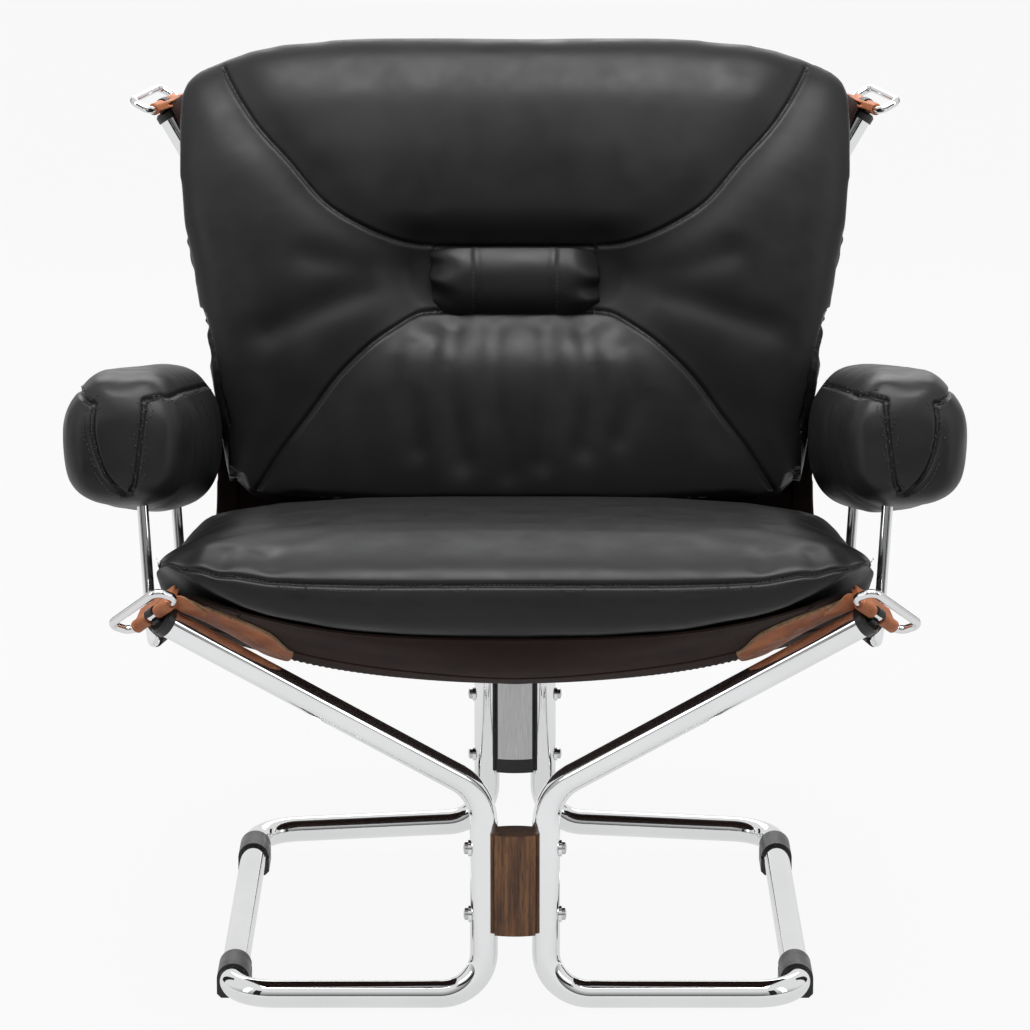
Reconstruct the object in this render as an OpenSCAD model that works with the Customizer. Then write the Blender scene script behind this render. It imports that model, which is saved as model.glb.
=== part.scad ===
// Lounge chair: two bent chrome tubes hold a canvas sling by its four corners.
// Leather cushions lie in the sling. The arms stand on rods at its side edges.
// Millimetres, +Z up, -Y is the chair's front, +X is the sitter's left.
// The origin is on the floor, under the middle of the floor loop.

/* [Frame tube] */
// outer diameter of the chromed tube
tube_d = 25; // [20:0.5:30]
// wall of the tube
tube_wall = 2; // [1:0.25:3]
// half width of the floor loop, on the tube's centre line
loop_half_w = 257.5; // [220:0.5:300]
// half depth of the floor loop, on the tube's centre line
loop_half_d = 249.5; // [220:0.5:280]
// height of the floor loop's centre line
rail_z = 18; // [16:0.5:24]
// rise of the rear rail at the chair's centre
rear_rise = 11; // [0:0.5:20]
// gap between the two posts, which the blocks fill
post_gap = 31; // [24:0.5:40]
// height of the bend from the front post to its arm
front_bend_z = 209; // [195:1:225]
// height of the bend from the rear post to its arm
rear_bend_z = 204; // [195:1:225]
// bend radius at the floor
floor_bend_r = 40; // [36:1:40]
// bend radius at the top of a post
post_bend_r = 55; // [45:1:65]
// front tube end, sideways from the centre
front_tip_x = 300; // [290:1:310]
// front tube end, forward from the centre
front_tip_y = 375; // [365:1:385]
// front tube end, height
front_tip_z = 399; // [389:1:409]
// rear tube end, sideways from the centre
rear_tip_x = 338; // [328:1:348]
// rear tube end, back from the centre
rear_tip_y = 332.5; // [322.5:1:342.5]
// rear tube end, height
rear_tip_z = 726; // [716:1:736]

/* [Centre blocks] */
// height of a block
block_h = 94; // [80:1:98]
// depth of a block, front to back
block_d = 34; // [28:1:40]
// width of a block over its four lips
block_w = 37; // [33:0.5:40]
// height of the front block's centre
front_block_z = 125; // [120:1:128]
// height of the rear block's centre
rear_block_z = 130; // [127:1:133]
// radius of a block's bulged front and back
block_bulge_r = 52; // [40:1:80]
// width of the blank plate on the rear block
plate_w = 34; // [28:1:34]
// height of the blank plate
plate_h = 78; // [60:1:80]
// thickness of the blank plate
plate_t = 1.5; // [1:0.25:3]

/* [Block bolts] */
// bolt shank diameter
bolt_d = 6; // [5:0.5:8]
// distance between the two bolts of a block
bolt_pitch = 62; // [50:1:66]
// head diameter
bolt_head_d = 11; // [9:0.5:13]
// head height
bolt_head_h = 4.5; // [3:0.5:6]
// socket across flats
bolt_socket = 4; // [3:0.5:5]
// barrel diameter of the sleeve nut
sleeve_nut_d = 9; // [8.5:0.5:11]
// washer diameter
washer_d = 15; // [13:0.5:17]
// washer thickness at the tube's crown
washer_t = 1.6; // [1:0.2:3]

/* [Glides] */
// length of a glide along the rail
glide_len = 42; // [30:1:60]
// wall of a glide around the tube
glide_wall = 2.6; // [2:0.2:4]
// front glide's centre, back from the floor loop's front tube
glide_front_inset = 62; // [61:0.5:80]
// rear glide's centre, forward from the floor loop's rear tube
glide_rear_inset = 69; // [61:0.5:90]

/* [End caps and pull rings] */
// cap diameter
cap_d = 27.4; // [26:0.2:31]
// cap length past the tube end
cap_h = 9; // [7:0.5:12]
// plug length inside the tube
plug_len = 20; // [12:1:30]
// width of the hook that holds the ring
hook_w = 9; // [6:0.5:12]
// wall of the hook around the rod
hook_wall = 3; // [2:0.25:4]
// ring rod diameter
ring_rod_d = 7.5; // [6:0.25:8.5]
// ring length between rod centres
ring_len = 67.5; // [64:0.5:76]
// ring width between rod centres
ring_w = 22; // [20:0.5:24]
// corner radius of the ring on its centre line
ring_bend_r = 8; // [6:0.5:10]
// tilt of a front ring from the tube's line
front_ring_tilt = 11; // [5:1:30]
// tilt of a rear ring from the tube's line
rear_ring_tilt = 33; // [15:1:45]

/* [Leather corners] */
// width of a corner strap along the ring
strap_w = 50; // [44:1:54]
// thickness of the strap leather
strap_t = 2.2; // [1.5:0.1:2.6]
// gap in the strap loop for the hook
strap_notch = 12; // [11:0.5:15]
// length of a strap from the rod
strap_len = 20.5; // [20:0.5:24]
// angle between a strap and the tube
strap_angle = 78; // [77:1:84]

/* [Sling] */
// thickness of the canvas
sling_t = 2; // [1.2:0.1:2.6]
// reach of the sling from the centre to its front edge
sling_reach = 400; // [394:1:404]
// height scale of the sling's middle line
sling_h = 800; // [796:1:804]
// rise of the canvas over the front tubes, near the corners
corner_lift = 18; // [16:1:24]

/* [Cushions] */
// half width of the seat cushion
seat_half_w = 312; // [300:1:314]
// reach of the seat cushion past the canvas's front edge
seat_nose = 23; // [18:1:28]
// height of the seat cushion's crest
seat_top_z = 467; // [463:1:471]
// half width of the back cushion above the arms
back_half_w = 326; // [310:1:328]
// half width of the back cushion between the arms
back_waist_half_w = 274; // [262:1:275]
// height of the back cushion's crest
back_top_z = 815; // [805:1:825]
// depth of the tuft's hollow in the back cushion
tuft_depth = 30; // [20:1:36]
// half width of the hollow's flat middle
tuft_half_w = 70; // [60:1:80]
// how far the hollow fades
tuft_reach = 54; // [45:1:60]
// height of the tuft
tuft_z = 590; // [580:1:600]

/* [Arms] */
// arm width
arm_w = 116; // [108:1:117]
// arm height
arm_h = 145; // [135:1:146]
// arm length
arm_len = 612; // [590:1:620]
// arm centre, sideways
arm_x = 338; // [338:1:344]
// arm centre, forward from the chair's centre
arm_y = 59.5; // [50:0.5:70]
// arm centre height
arm_z = 486; // [485:1:492]
// slope of the arm, rising to the front
arm_pitch = 10.8; // [10:0.1:11.5]
// arm rod diameter
rod_d = 10; // [8:0.5:11]
// arm rod, sideways from the centre at its bottom bar
rod_x = 319; // [316:0.5:322]
// slope of the bottom bar
rod_pitch = 11.7; // [11:0.1:12.2]
// bottom bar height at the chair's centre plane
rod_z = 299; // [297:0.5:301]
// front leg of the rod, forward from the centre
rod_front_y = 300; // [290:1:310]
// rear leg of the rod, back from the centre
rod_rear_y = 118; // [110:1:122]
// leg length from the bottom bar's line
rod_leg = 147; // [143:1:150]
// outward lean of the legs
rod_lean = 4; // [2:0.5:5]
// bend radius of the rod
rod_bend_r = 16; // [14:1:20]
// wall of the canvas sleeve around the bar
sleeve_t = 1.4; // [1:0.1:2]
// front end of the sleeve, forward from the centre
sleeve_front_y = 262; // [250:1:268]
// rear end of the sleeve, back from the centre
sleeve_rear_y = 60; // [40:1:80]
// board length inside the arm
board_len = 470; // [450:1:490]
// board width
board_w = 66; // [50:1:76]
// board thickness
board_t = 14; // [12:1:18]
// board centre below the arm's centre line
board_drop = 26; // [22:1:30]

/* [Hidden] */
$fn = 48;
// running clearance of a rod in its sleeve or hook
run_gap = 0.05;
// clearance between pieces of one body
fit_gap = 0.1;
// clearance of soft pieces from their neighbours
soft_gap = 0.4;
// clearance of a cushion over the sling, whose facets differ from its own
cushion_gap = 1.9;
// clearance of the back cushion over the sling, which is straighter there
back_gap = 1.4;
// foam core as a share of the cushion around it: it fills its cover tightly
core_share = 0.84;
core_wide_share = 0.96;
// more room for a cushion over the front straps
strap_room = 11;
// overrun of a cut past a face
over = 1;
// half length and step of the thin collars where a run meets a bend
collar_half = 0.3;
collar_step = 0.02;
tube_r = tube_d / 2;
seat_reach = sling_reach + seat_nose;
bore_r = tube_r - tube_wall;
post_x = post_gap / 2 + tube_r;
ring_r = ring_rod_d / 2;
rod_r = rod_d / 2;

function unit(v) = v / norm(v);
function square_to(v, a) = unit(v - (v * a) * a);
function euler(ex, ey, ez) = [atan2(ey[2], ez[2]), -asin(ex[2]), atan2(ex[1], ex[0])];
function aim(d) = [0, acos(d[2]), atan2(d[1], d[0])];
function mix(a, b, t) = a * (1 - t) + b * t;
function turn(a, w, t) = a * cos(t) + w * sin(t);

// the right tube's corners, from the front end to the rear end
front_vertex = [post_x, -loop_half_d, front_bend_z];
rear_vertex = [post_x, loop_half_d, rear_bend_z];
front_tip = [front_tip_x, -front_tip_y, front_tip_z];
rear_tip = [rear_tip_x, rear_tip_y, rear_tip_z];
tube_points = [
  front_tip,
  front_vertex,
  [post_x, -loop_half_d, rail_z],
  [loop_half_w, -loop_half_d, rail_z],
  [loop_half_w, loop_half_d, rail_z],
  [post_x, loop_half_d, rail_z + rear_rise],
  rear_vertex,
  rear_tip
];
tube_bends = [0, post_bend_r, floor_bend_r, floor_bend_r, floor_bend_r, floor_bend_r, post_bend_r, 0];

// corner frames: a runs out of the tube, u along the ring's rods, w into the seat
front_a = unit(front_tip - front_vertex);
rear_a = unit(rear_tip - rear_vertex);
front_lean_shares = [-0.57, -0.55, 0.61];
rear_lean_shares = [0.374, -0.928, 0];
front_u = square_to(front_lean_shares, front_a);
rear_u = square_to(rear_lean_shares, rear_a);
front_w = cross(front_u, front_a);
rear_w = cross(rear_u, rear_a);
loop_r = ring_r + run_gap + strap_t;
rod_lift = cap_h + loop_r + soft_gap;
front_rod = front_tip + front_a * rod_lift;
rear_rod = rear_tip + rear_a * rod_lift;
front_out = turn(front_a, -front_w, front_ring_tilt);
rear_out = turn(rear_a, -rear_w, rear_ring_tilt);
front_in = turn(-front_a, front_w, strap_angle);
rear_in = turn(-rear_a, rear_w, strap_angle);
// the seat's front and the rear ring's corner are as far from the origin
rear_reach = rear_rod[1] + rear_out[1] * (ring_w - ring_bend_r) + abs(rear_u[1]) * (ring_len / 2 - ring_bend_r)
  + ring_bend_r * norm([rear_out[1], rear_u[1]]) + ring_r;
origin_y = (seat_reach - rear_reach) / 2;
module placed() {
  translate([0, origin_y, 0])
    children();
}

// the canvas starts above the cap's edge, between the strap's two leaves
lead = (cap_d + sling_t + over) / 2 / sin(strap_angle) + 1.5 * over;
leaf_gap = sling_t / 2 + fit_gap;

// chain of straight runs and bends along a list of corners
function run_dir(p, i) = unit(p[i + 1] - p[i]);
function bend_angle(p, i) = acos(run_dir(p, i - 1) * run_dir(p, i));
function bend_cut(p, b, i) = (i == 0 || i == len(p) - 1) ? 0 : b[i] * tan(bend_angle(p, i) / 2);

module bar(a, b, r, ri) {
  d = unit(b - a);
  translate(a)
    rotate(aim(d))
      difference() {
        cylinder(r = r, h = norm(b - a));
        if (ri > 0)
          translate([0, 0, -over])
            cylinder(r = ri, h = norm(b - a) + 2 * over);
      }
}

module bend(p, b, i, r, ri) {
  d1 = run_dir(p, i - 1);
  d2 = run_dir(p, i);
  n = square_to(d2, d1);
  start = p[i] - d1 * bend_cut(p, b, i);
  translate(start + n * b[i])
    rotate(euler(-n, d1, cross(-n, d1)))
      rotate_extrude(angle = bend_angle(p, i))
        translate([b[i], 0])
          difference() {
            circle(r);
            if (ri > 0)
              circle(ri);
          }
}

// thin collars join the runs to the bends, so that no two faces only graze
module swept(p, b, r, ri) {
  for (i = [0 : len(p) - 2]) {
    d = run_dir(p, i);
    from = p[i] + d * (bend_cut(p, b, i) + (i > 0 ? collar_half / 2 : 0));
    to = p[i + 1] - d * (bend_cut(p, b, i + 1) + (i < len(p) - 2 ? collar_half / 2 : 0));
    bar(from, to, r, ri);
    if (i > 0)
      collar(p[i] + d * bend_cut(p, b, i), d, r, ri);
    if (i < len(p) - 2)
      collar(p[i + 1] - d * bend_cut(p, b, i + 1), d, r, ri);
  }
  for (i = [1 : len(p) - 2])
    bend(p, b, i, r, ri);
}

module collar(c, d, r, ri) {
  bar(c - d * collar_half, c + d * collar_half, r + collar_step, ri > 0 ? ri - collar_step : 0);
}

module across(x0, x1, r, y, z) {
  translate([x0, y, z])
    rotate([0, 90, 0])
      cylinder(r = r, h = x1 - x0);
}

// places of the four bolts, as y and z
bolt_places = [for (s = [-1, 1]) for (e = [[-loop_half_d, front_block_z], [loop_half_d, rear_block_z]])
  [e[0], e[1] + s * bolt_pitch / 2]];
outer_x = post_x + tube_r;
nut_reach = post_x - tube_r - 3 * over;

module frame_tube(nut_side) {
  difference() {
    swept(tube_points, tube_bends, tube_r, bore_r);
    for (q = bolt_places)
      across(post_x - tube_d, post_x + tube_d,
        nut_side ? sleeve_nut_d / 2 + fit_gap : bolt_d / 2 + fit_gap, q[0], q[1]);
  }
}

module frame_tube_left() {
  placed() color("silver") frame_tube(false);
}

module frame_tube_right() {
  placed() color("silver") mirror([1, 0, 0]) frame_tube(true);
}

// blocks between the posts
bulge_y = block_bulge_r - block_d / 2;
module block(y, z) {
  difference() {
    translate([0, y, z - block_h / 2])
      intersection() {
        translate([-block_w / 2, -block_d / 2, 0])
          cube([block_w, block_d, block_h]);
        translate([0, bulge_y, 0])
          cylinder(r = block_bulge_r, h = block_h, $fn = 96);
        translate([0, -bulge_y, 0])
          cylinder(r = block_bulge_r, h = block_h, $fn = 96);
      }
    for (s = [-1, 1])
      translate([s * post_x, y, z - block_h / 2 - over])
        cylinder(r = tube_r + fit_gap, h = block_h + 2 * over);
    for (s = [-1, 1]) {
      across(-block_w, block_w, bolt_d / 2 + fit_gap, y, z + s * bolt_pitch / 2);
      across(-block_w, -nut_reach + fit_gap, sleeve_nut_d / 2 + fit_gap, y, z + s * bolt_pitch / 2);
    }
  }
}

module front_spacer() {
  placed() color("sienna") block(-loop_half_d, front_block_z);
}

module rear_spacer() {
  placed() color([0.12, 0.12, 0.12]) block(loop_half_d, rear_block_z);
}

module rear_plate() {
  placed() color("lightgray")
    translate([0, loop_half_d, rear_block_z + block_h / 2 - plate_h - plate_t])
      difference() {
        intersection() {
          translate([0, bulge_y, 0])
            cylinder(r = block_bulge_r + plate_t, h = plate_h, $fn = 96);
          translate([-plate_w / 2, -block_d, 0])
            cube([plate_w, block_d, plate_h]);
        }
        translate([0, bulge_y, -over])
          cylinder(r = block_bulge_r, h = plate_h + 2 * over, $fn = 96);
        for (s = [-1, 1])
          translate([s * post_x, 0, -over])
            cylinder(r = tube_r + fit_gap, h = plate_h + 2 * over);
      }
}

// a bolt's head stands on its saddle washer, outside the left tube
head_x = outer_x + washer_t;
module dome_head(socket) {
  difference() {
    intersection() {
      cylinder(d = bolt_head_d, h = bolt_head_h);
      translate([0, 0, bolt_head_h - bolt_head_d])
        sphere(r = bolt_head_d);
    }
    if (socket)
      translate([0, 0, bolt_head_h / 2])
        cylinder(d = bolt_socket / cos(30), h = bolt_head_h, $fn = 6);
  }
}

module bolts(y, z) {
  color("gainsboro")
    for (s = [-1, 1])
      translate([0, y, z + s * bolt_pitch / 2]) {
        across(-post_x, head_x + over, bolt_d / 2, 0, 0);
        translate([head_x, 0, 0])
          rotate([0, 90, 0])
            dome_head(true);
      }
}

module nuts(y, z) {
  color("gainsboro")
    for (s = [-1, 1])
      translate([0, y, z + s * bolt_pitch / 2])
        difference() {
          union() {
            across(-head_x - over, -nut_reach, sleeve_nut_d / 2, 0, 0);
            translate([-head_x, 0, 0])
              rotate([0, -90, 0])
                dome_head(true);
          }
          across(-post_x - fit_gap, 0, bolt_d / 2 + run_gap, 0, 0);
        }
}

module washers(y, z) {
  color("white")
    for (s = [-1, 1])
      for (side = [0, 1])
        mirror([side, 0, 0])
          difference() {
            across(outer_x - washer_t, head_x, washer_d / 2, y, z + s * bolt_pitch / 2);
            across(0, head_x + over, (side == 1 ? sleeve_nut_d : bolt_d) / 2 + fit_gap, y, z + s * bolt_pitch / 2);
            translate([post_x, y, z - bolt_pitch])
              cylinder(r = tube_r + run_gap, h = 2 * bolt_pitch);
          }
}

module front_bolts() { placed() bolts(-loop_half_d, front_block_z); }
module front_nuts() { placed() nuts(-loop_half_d, front_block_z); }
module front_washers() { placed() washers(-loop_half_d, front_block_z); }
module rear_bolts() { placed() bolts(loop_half_d, rear_block_z); }
module rear_nuts() { placed() nuts(loop_half_d, rear_block_z); }
module rear_washers() { placed() washers(loop_half_d, rear_block_z); }

// a glide wraps the side rail and lifts it off the floor
glide_r = tube_r + glide_wall;
glide_chamfer = glide_wall * 1.5;
module glide(y) {
  color([0.1, 0.1, 0.1])
    translate([loop_half_w, y + glide_len / 2, rail_z])
      rotate([90, 0, 0])
        linear_extrude(glide_len)
          difference() {
            union() {
              circle(glide_r);
              polygon([
                [-glide_r, 0],
                [-glide_r, -rail_z + glide_chamfer],
                [-glide_r + glide_chamfer, -rail_z],
                [glide_r - glide_chamfer, -rail_z],
                [glide_r, -rail_z + glide_chamfer],
                [glide_r, 0]
              ]);
            }
            circle(tube_r + run_gap);
            translate([-glide_r - over, -glide_wall / 2])
              square([glide_r, glide_wall]);
          }
}

module glide_front_left() { placed() glide(glide_front_inset - loop_half_d); }
module glide_rear_left() { placed() glide(loop_half_d - glide_rear_inset); }
module glide_front_right() {
  placed() mirror([1, 0, 0]) glide(glide_front_inset - loop_half_d);
}
module glide_rear_right() {
  placed() mirror([1, 0, 0]) glide(loop_half_d - glide_rear_inset);
}

// black plug and cap with a hook finger over the ring's inner rod
hook_r = ring_r + run_gap + hook_wall;
hook_mouth = ring_rod_d * 0.86;
cap_edge = cap_h / 4;
neck_w = hook_w - fit_gap;
neck_t = 2 * (hook_r - fit_gap);
module end_cap(tip, a, u, w, open_dir) {
  color([0.08, 0.08, 0.08])
    difference() {
      union() {
        translate(tip)
          rotate(aim(a)) {
            translate([0, 0, -plug_len])
              cylinder(r = bore_r - fit_gap, h = plug_len + over);
            cylinder(d = cap_d, h = cap_h - cap_edge);
            translate([0, 0, cap_h - cap_edge])
              cylinder(d1 = cap_d, d2 = cap_d - 2 * cap_edge, h = cap_edge);
          }
        bar(tip + a * rod_lift - u * hook_w / 2, tip + a * rod_lift + u * hook_w / 2, hook_r, 0);
        translate(tip)
          rotate(euler(u, -w, a))
            translate([-neck_w / 2, -neck_t / 2, cap_h / 2])
              cube([neck_w, neck_t, rod_lift - cap_h / 2]);
      }
      bar(tip + a * rod_lift - u * hook_w, tip + a * rod_lift + u * hook_w, ring_r + run_gap, 0);
      translate(tip + a * rod_lift)
        rotate(euler(u, cross(open_dir, u), open_dir))
          translate([-hook_w, -hook_mouth / 2, 0])
            cube([2 * hook_w, hook_mouth, 2 * hook_r]);
    }
}

front_open = turn(front_a, -front_w, strap_angle);
rear_open = turn(rear_a, -rear_w, strap_angle);
module cap_front_left() { placed() end_cap(front_tip, front_a, front_u, front_w, front_open); }
module cap_rear_left() { placed() end_cap(rear_tip, rear_a, rear_u, rear_w, rear_open); }
module cap_front_right() { placed() mirror([1, 0, 0]) end_cap(front_tip, front_a, front_u, front_w, front_open); }
module cap_rear_right() { placed() mirror([1, 0, 0]) end_cap(rear_tip, rear_a, rear_u, rear_w, rear_open); }

// chrome pull ring: a rounded rectangle of round rod
module pull_ring(rod, u, out) {
  w1 = rod + out * ring_w;
  h = u * ring_len / 2;
  p = [rod, rod + h, w1 + h, w1 - h, rod - h, rod];
  b = [0, ring_bend_r, ring_bend_r, ring_bend_r, ring_bend_r, 0];
  color("white") swept(p, b, ring_r, 0);
}

module ring_front_left() { placed() pull_ring(front_rod, front_u, front_out); }
module ring_rear_left() { placed() pull_ring(rear_rod, rear_u, rear_out); }
module ring_front_right() { placed() mirror([1, 0, 0]) pull_ring(front_rod, front_u, front_out); }
module ring_rear_right() { placed() mirror([1, 0, 0]) pull_ring(rear_rod, rear_u, rear_out); }

// leather strap: a loop on the rod each side of the hook, and two leaves
leaf_t = loop_r - leaf_gap;
module corner_strap(rod, u, in_dir) {
  n = cross(u, in_dir);
  color("chocolate")
    difference() {
      union() {
        bar(rod - u * strap_w / 2, rod + u * strap_w / 2, loop_r, 0);
        translate(rod)
          rotate(euler(u, in_dir, n))
            translate([-strap_w / 2, 0, -leaf_gap - strap_t])
              cube([strap_w, strap_len, 2 * (leaf_gap + strap_t)]);
      }
      bar(rod - u * strap_w, rod + u * strap_w, ring_r + run_gap, 0);
      translate(rod)
        rotate(euler(u, in_dir, n)) {
          translate([-strap_w, lead - fit_gap, -leaf_gap])
            cube([2 * strap_w, strap_len, 2 * leaf_gap]);
          translate([-strap_notch / 2, -2 * loop_r, -2 * loop_r])
            cube([strap_notch, 2 * loop_r + hook_r + over, 4 * loop_r]);
        }
    }
}

module strap_front_left() { placed() corner_strap(front_rod, front_u, front_in); }
module strap_rear_left() { placed() corner_strap(rear_rod, rear_u, rear_in); }
module strap_front_right() { placed() mirror([1, 0, 0]) corner_strap(front_rod, front_u, front_in); }
module strap_rear_right() { placed() mirror([1, 0, 0]) corner_strap(rear_rod, rear_u, rear_in); }

// arm rod: a bottom bar in the sling's sleeve and two legs up into the arm
bar_dir = [0, -cos(rod_pitch), sin(rod_pitch)];
leg_dir = unit([sin(rod_lean), sin(rod_pitch), cos(rod_pitch)]);
function bar_at(y) = [rod_x, y, rod_z - y * tan(rod_pitch)];
module rod_solid(grow) {
  p = [
    bar_at(-rod_front_y) + leg_dir * (rod_leg + grow),
    bar_at(-rod_front_y),
    bar_at(rod_rear_y),
    bar_at(rod_rear_y) + leg_dir * (rod_leg + grow)
  ];
  swept(p, [0, rod_bend_r, rod_bend_r, 0], rod_r + grow, 0);
}

module arm_rod_left() { placed() color("white") rod_solid(0); }
module arm_rod_right() { placed() color("white") mirror([1, 0, 0]) rod_solid(0); }

module sleeve() {
  color([0.2, 0.14, 0.14])
    bar(bar_at(sleeve_rear_y), bar_at(-sleeve_front_y), sleeve_r, rod_r + run_gap);
}
module arm_sleeve_left() { placed() sleeve(); }
module arm_sleeve_right() { placed() mirror([1, 0, 0]) sleeve(); }

// board inside the arm, on the rod's legs
module board_solid(grow) {
  translate([arm_x, -arm_y, arm_z])
    rotate([-arm_pitch, 0, 0])
      translate([-board_w / 2 - grow, -board_len / 2 - grow, -board_drop - board_t / 2 - grow])
        cube([board_w + 2 * grow, board_len + 2 * grow, board_t + 2 * grow]);
}

module arm_board() {
  color("burlywood")
    difference() {
      board_solid(0);
      rod_solid(fit_gap);
    }
}
module arm_board_left() { placed() arm_board(); }
module arm_board_right() { placed() mirror([1, 0, 0]) arm_board(); }

// closed skin over a stack of loops, each a list of as many points
module skin(loops) {
  n = len(loops[0]);
  m = len(loops);
  points = concat(
    [for (l = loops) for (q = l) q],
    [centre(loops[0]), centre(loops[m - 1])]);
  faces = concat(
    [for (j = [0 : m - 2]) for (i = [0 : n - 1])
      [j * n + i, j * n + (i + 1) % n, (j + 1) * n + i]],
    [for (j = [0 : m - 2]) for (i = [0 : n - 1])
      [j * n + (i + 1) % n, (j + 1) * n + (i + 1) % n, (j + 1) * n + i]],
    [for (i = [0 : n - 1]) [m * n, (i + 1) % n, i]],
    [for (i = [0 : n - 1]) [m * n + 1, (m - 1) * n + i, (m - 1) * n + (i + 1) % n]]);
  polyhedron(points, faces, convexity = 6);
}
function centre(l, i = 0) = i == len(l) ? [0, 0, 0] : l[i] / len(l) + centre(l, i + 1);
function drawn(l, k, wide) = let (c = centre(l)) [for (q = l)
  [q[0] * wide, mix(c[1], q[1], k), mix(c[2], q[2], k)]];

// arm pad: round loops along a sloped line, fuller at the front end
pad_station_shares = [-0.5, -0.49, -0.465, -0.42, -0.34, -0.2, 0, 0.2, 0.34, 0.41, 0.455, 0.485, 0.5];
pad_size_shares = [0.5, 0.74, 0.9, 0.975, 1, 1, 1, 1, 1, 0.965, 0.87, 0.69, 0.36];
pad_round = 0.75;
pad_points = 24;
function bulb(t) = sign(t) * pow(abs(t), pad_round);
function pad_loop(j) = [for (i = [0 : pad_points - 1])
  let (t = 360 * i / pad_points, k = pad_size_shares[j],
    x = arm_w / 2 * k * bulb(cos(t)), z = arm_h / 2 * k * bulb(sin(t)), y = arm_len * pad_station_shares[j])
  [arm_x + x,
    -arm_y + y * cos(arm_pitch) + z * sin(arm_pitch),
    arm_z - y * sin(arm_pitch) + z * cos(arm_pitch)]];

module arm_pad() {
  color([0.25, 0.25, 0.26])
    difference() {
      skin([for (j = [0 : len(pad_station_shares) - 1]) pad_loop(j)]);
      board_solid(fit_gap);
      rod_solid(fit_gap);
    }
}
module arm_pad_left() { placed() arm_pad(); }
module arm_pad_right() { placed() mirror([1, 0, 0]) arm_pad(); }

// sling: stations from the front edge, under the seat and up to the top edge
sling_mid_shares = [
  [-1.000, 0.490], [-0.960, 0.452], [-0.850, 0.420], [-0.550, 0.3875], [-0.225, 0.356],
  [0.100, 0.3275], [0.300, 0.309], [0.4625, 0.315], [0.565, 0.369], [0.625, 0.500],
  [0.6875, 0.675], [0.740, 0.800], [0.7725, 0.881], [0.785, 0.905]
];
sling_edge_y_shares = [0, 0, -0.750, -0.500, -0.200, 0.100, 0.270, 0.425, 0.5325, 0.615, 0.6875, 0.7375];
sling_edge_z_shares = [0, 0, 0, 0, 0, 0, 0, 0.371, 0.430, 0.5325, 0.700, 0.825];
sling_edge_x_shares = [0, 0, 1, 1, 1, 1, 1, 1, 1, 1.01, 1.035, 1.068];
corner_lift_shares = [0, 1, 0.9, 0.3, 0, 0, 0, 0, 0, 0, 0, 0, 0, 0];
sag_powers = [3, 1.3, 1.8, 2.4, 3, 3, 3, 3, 3, 3, 3, 3, 3, 3];
// the canvas edge rests on the upper inner side of the sleeve, clear of the legs
sleeve_r = rod_r + run_gap + sleeve_t;
sling_half_w = rod_x - rod_r - 2 * soft_gap;
bar_lift = sqrt(pow(sleeve_r + soft_gap + sling_t / 2, 2) - pow(rod_x - sling_half_w, 2));
sling_mid = [for (q = sling_mid_shares) [0, q[0] * sling_reach, q[1] * sling_h]];
canvas_half = strap_w / 2;
front_lead = front_rod + front_in * lead;
rear_lead = rear_rod + rear_in * lead;
sling_edge = concat(
  [front_lead + front_u * canvas_half, front_lead - front_u * canvas_half],
  [for (i = [2 : 6]) let (y = sling_edge_y_shares[i] * sling_reach)
    [sling_edge_x_shares[i] * sling_half_w, y, bar_at(y)[2] + bar_lift / cos(rod_pitch)]],
  [for (i = [7 : 11])
    [sling_edge_x_shares[i] * sling_half_w, sling_edge_y_shares[i] * sling_reach, sling_edge_z_shares[i] * sling_h]],
  [rear_lead + rear_u * canvas_half, rear_lead - rear_u * canvas_half]);
last_station = len(sling_mid) - 1;
lift_power = 6;

function knot(p, i) = p[max(0, min(len(p) - 1, i))];
function smooth(p, u) = let (i = min(floor(u), len(p) - 2), t = u - i,
  a = knot(p, i - 1), b = knot(p, i), c = knot(p, i + 1), d = knot(p, i + 2))
  0.5 * ((2 * b) + (c - a) * t + (2 * a - 5 * b + 4 * c - d) * t * t + (3 * b - a - 3 * c + d) * t * t * t);
function sling_at(u, v) = let (m = smooth(sling_mid, u), e = smooth(sling_edge, u),
  k = pow(abs(v), smooth(sag_powers, u)), l = pow(abs(v), lift_power))
  [e[0] * v, mix(m[1], e[1], k), mix(m[2], e[2], k) + 4 * l * (1 - l) * corner_lift * smooth(corner_lift_shares, u)];
function sling_normal(u, v) = let (h = 0.02,
  a = sling_at(min(last_station, u + h), v) - sling_at(max(0, u - h), v),
  b = sling_at(u, min(1, v + h)) - sling_at(u, max(-1, v - h)))
  unit(cross(b, a));
function sling_face(u, v, off) = sling_at(u, v) + sling_normal(u, v) * off;

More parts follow.
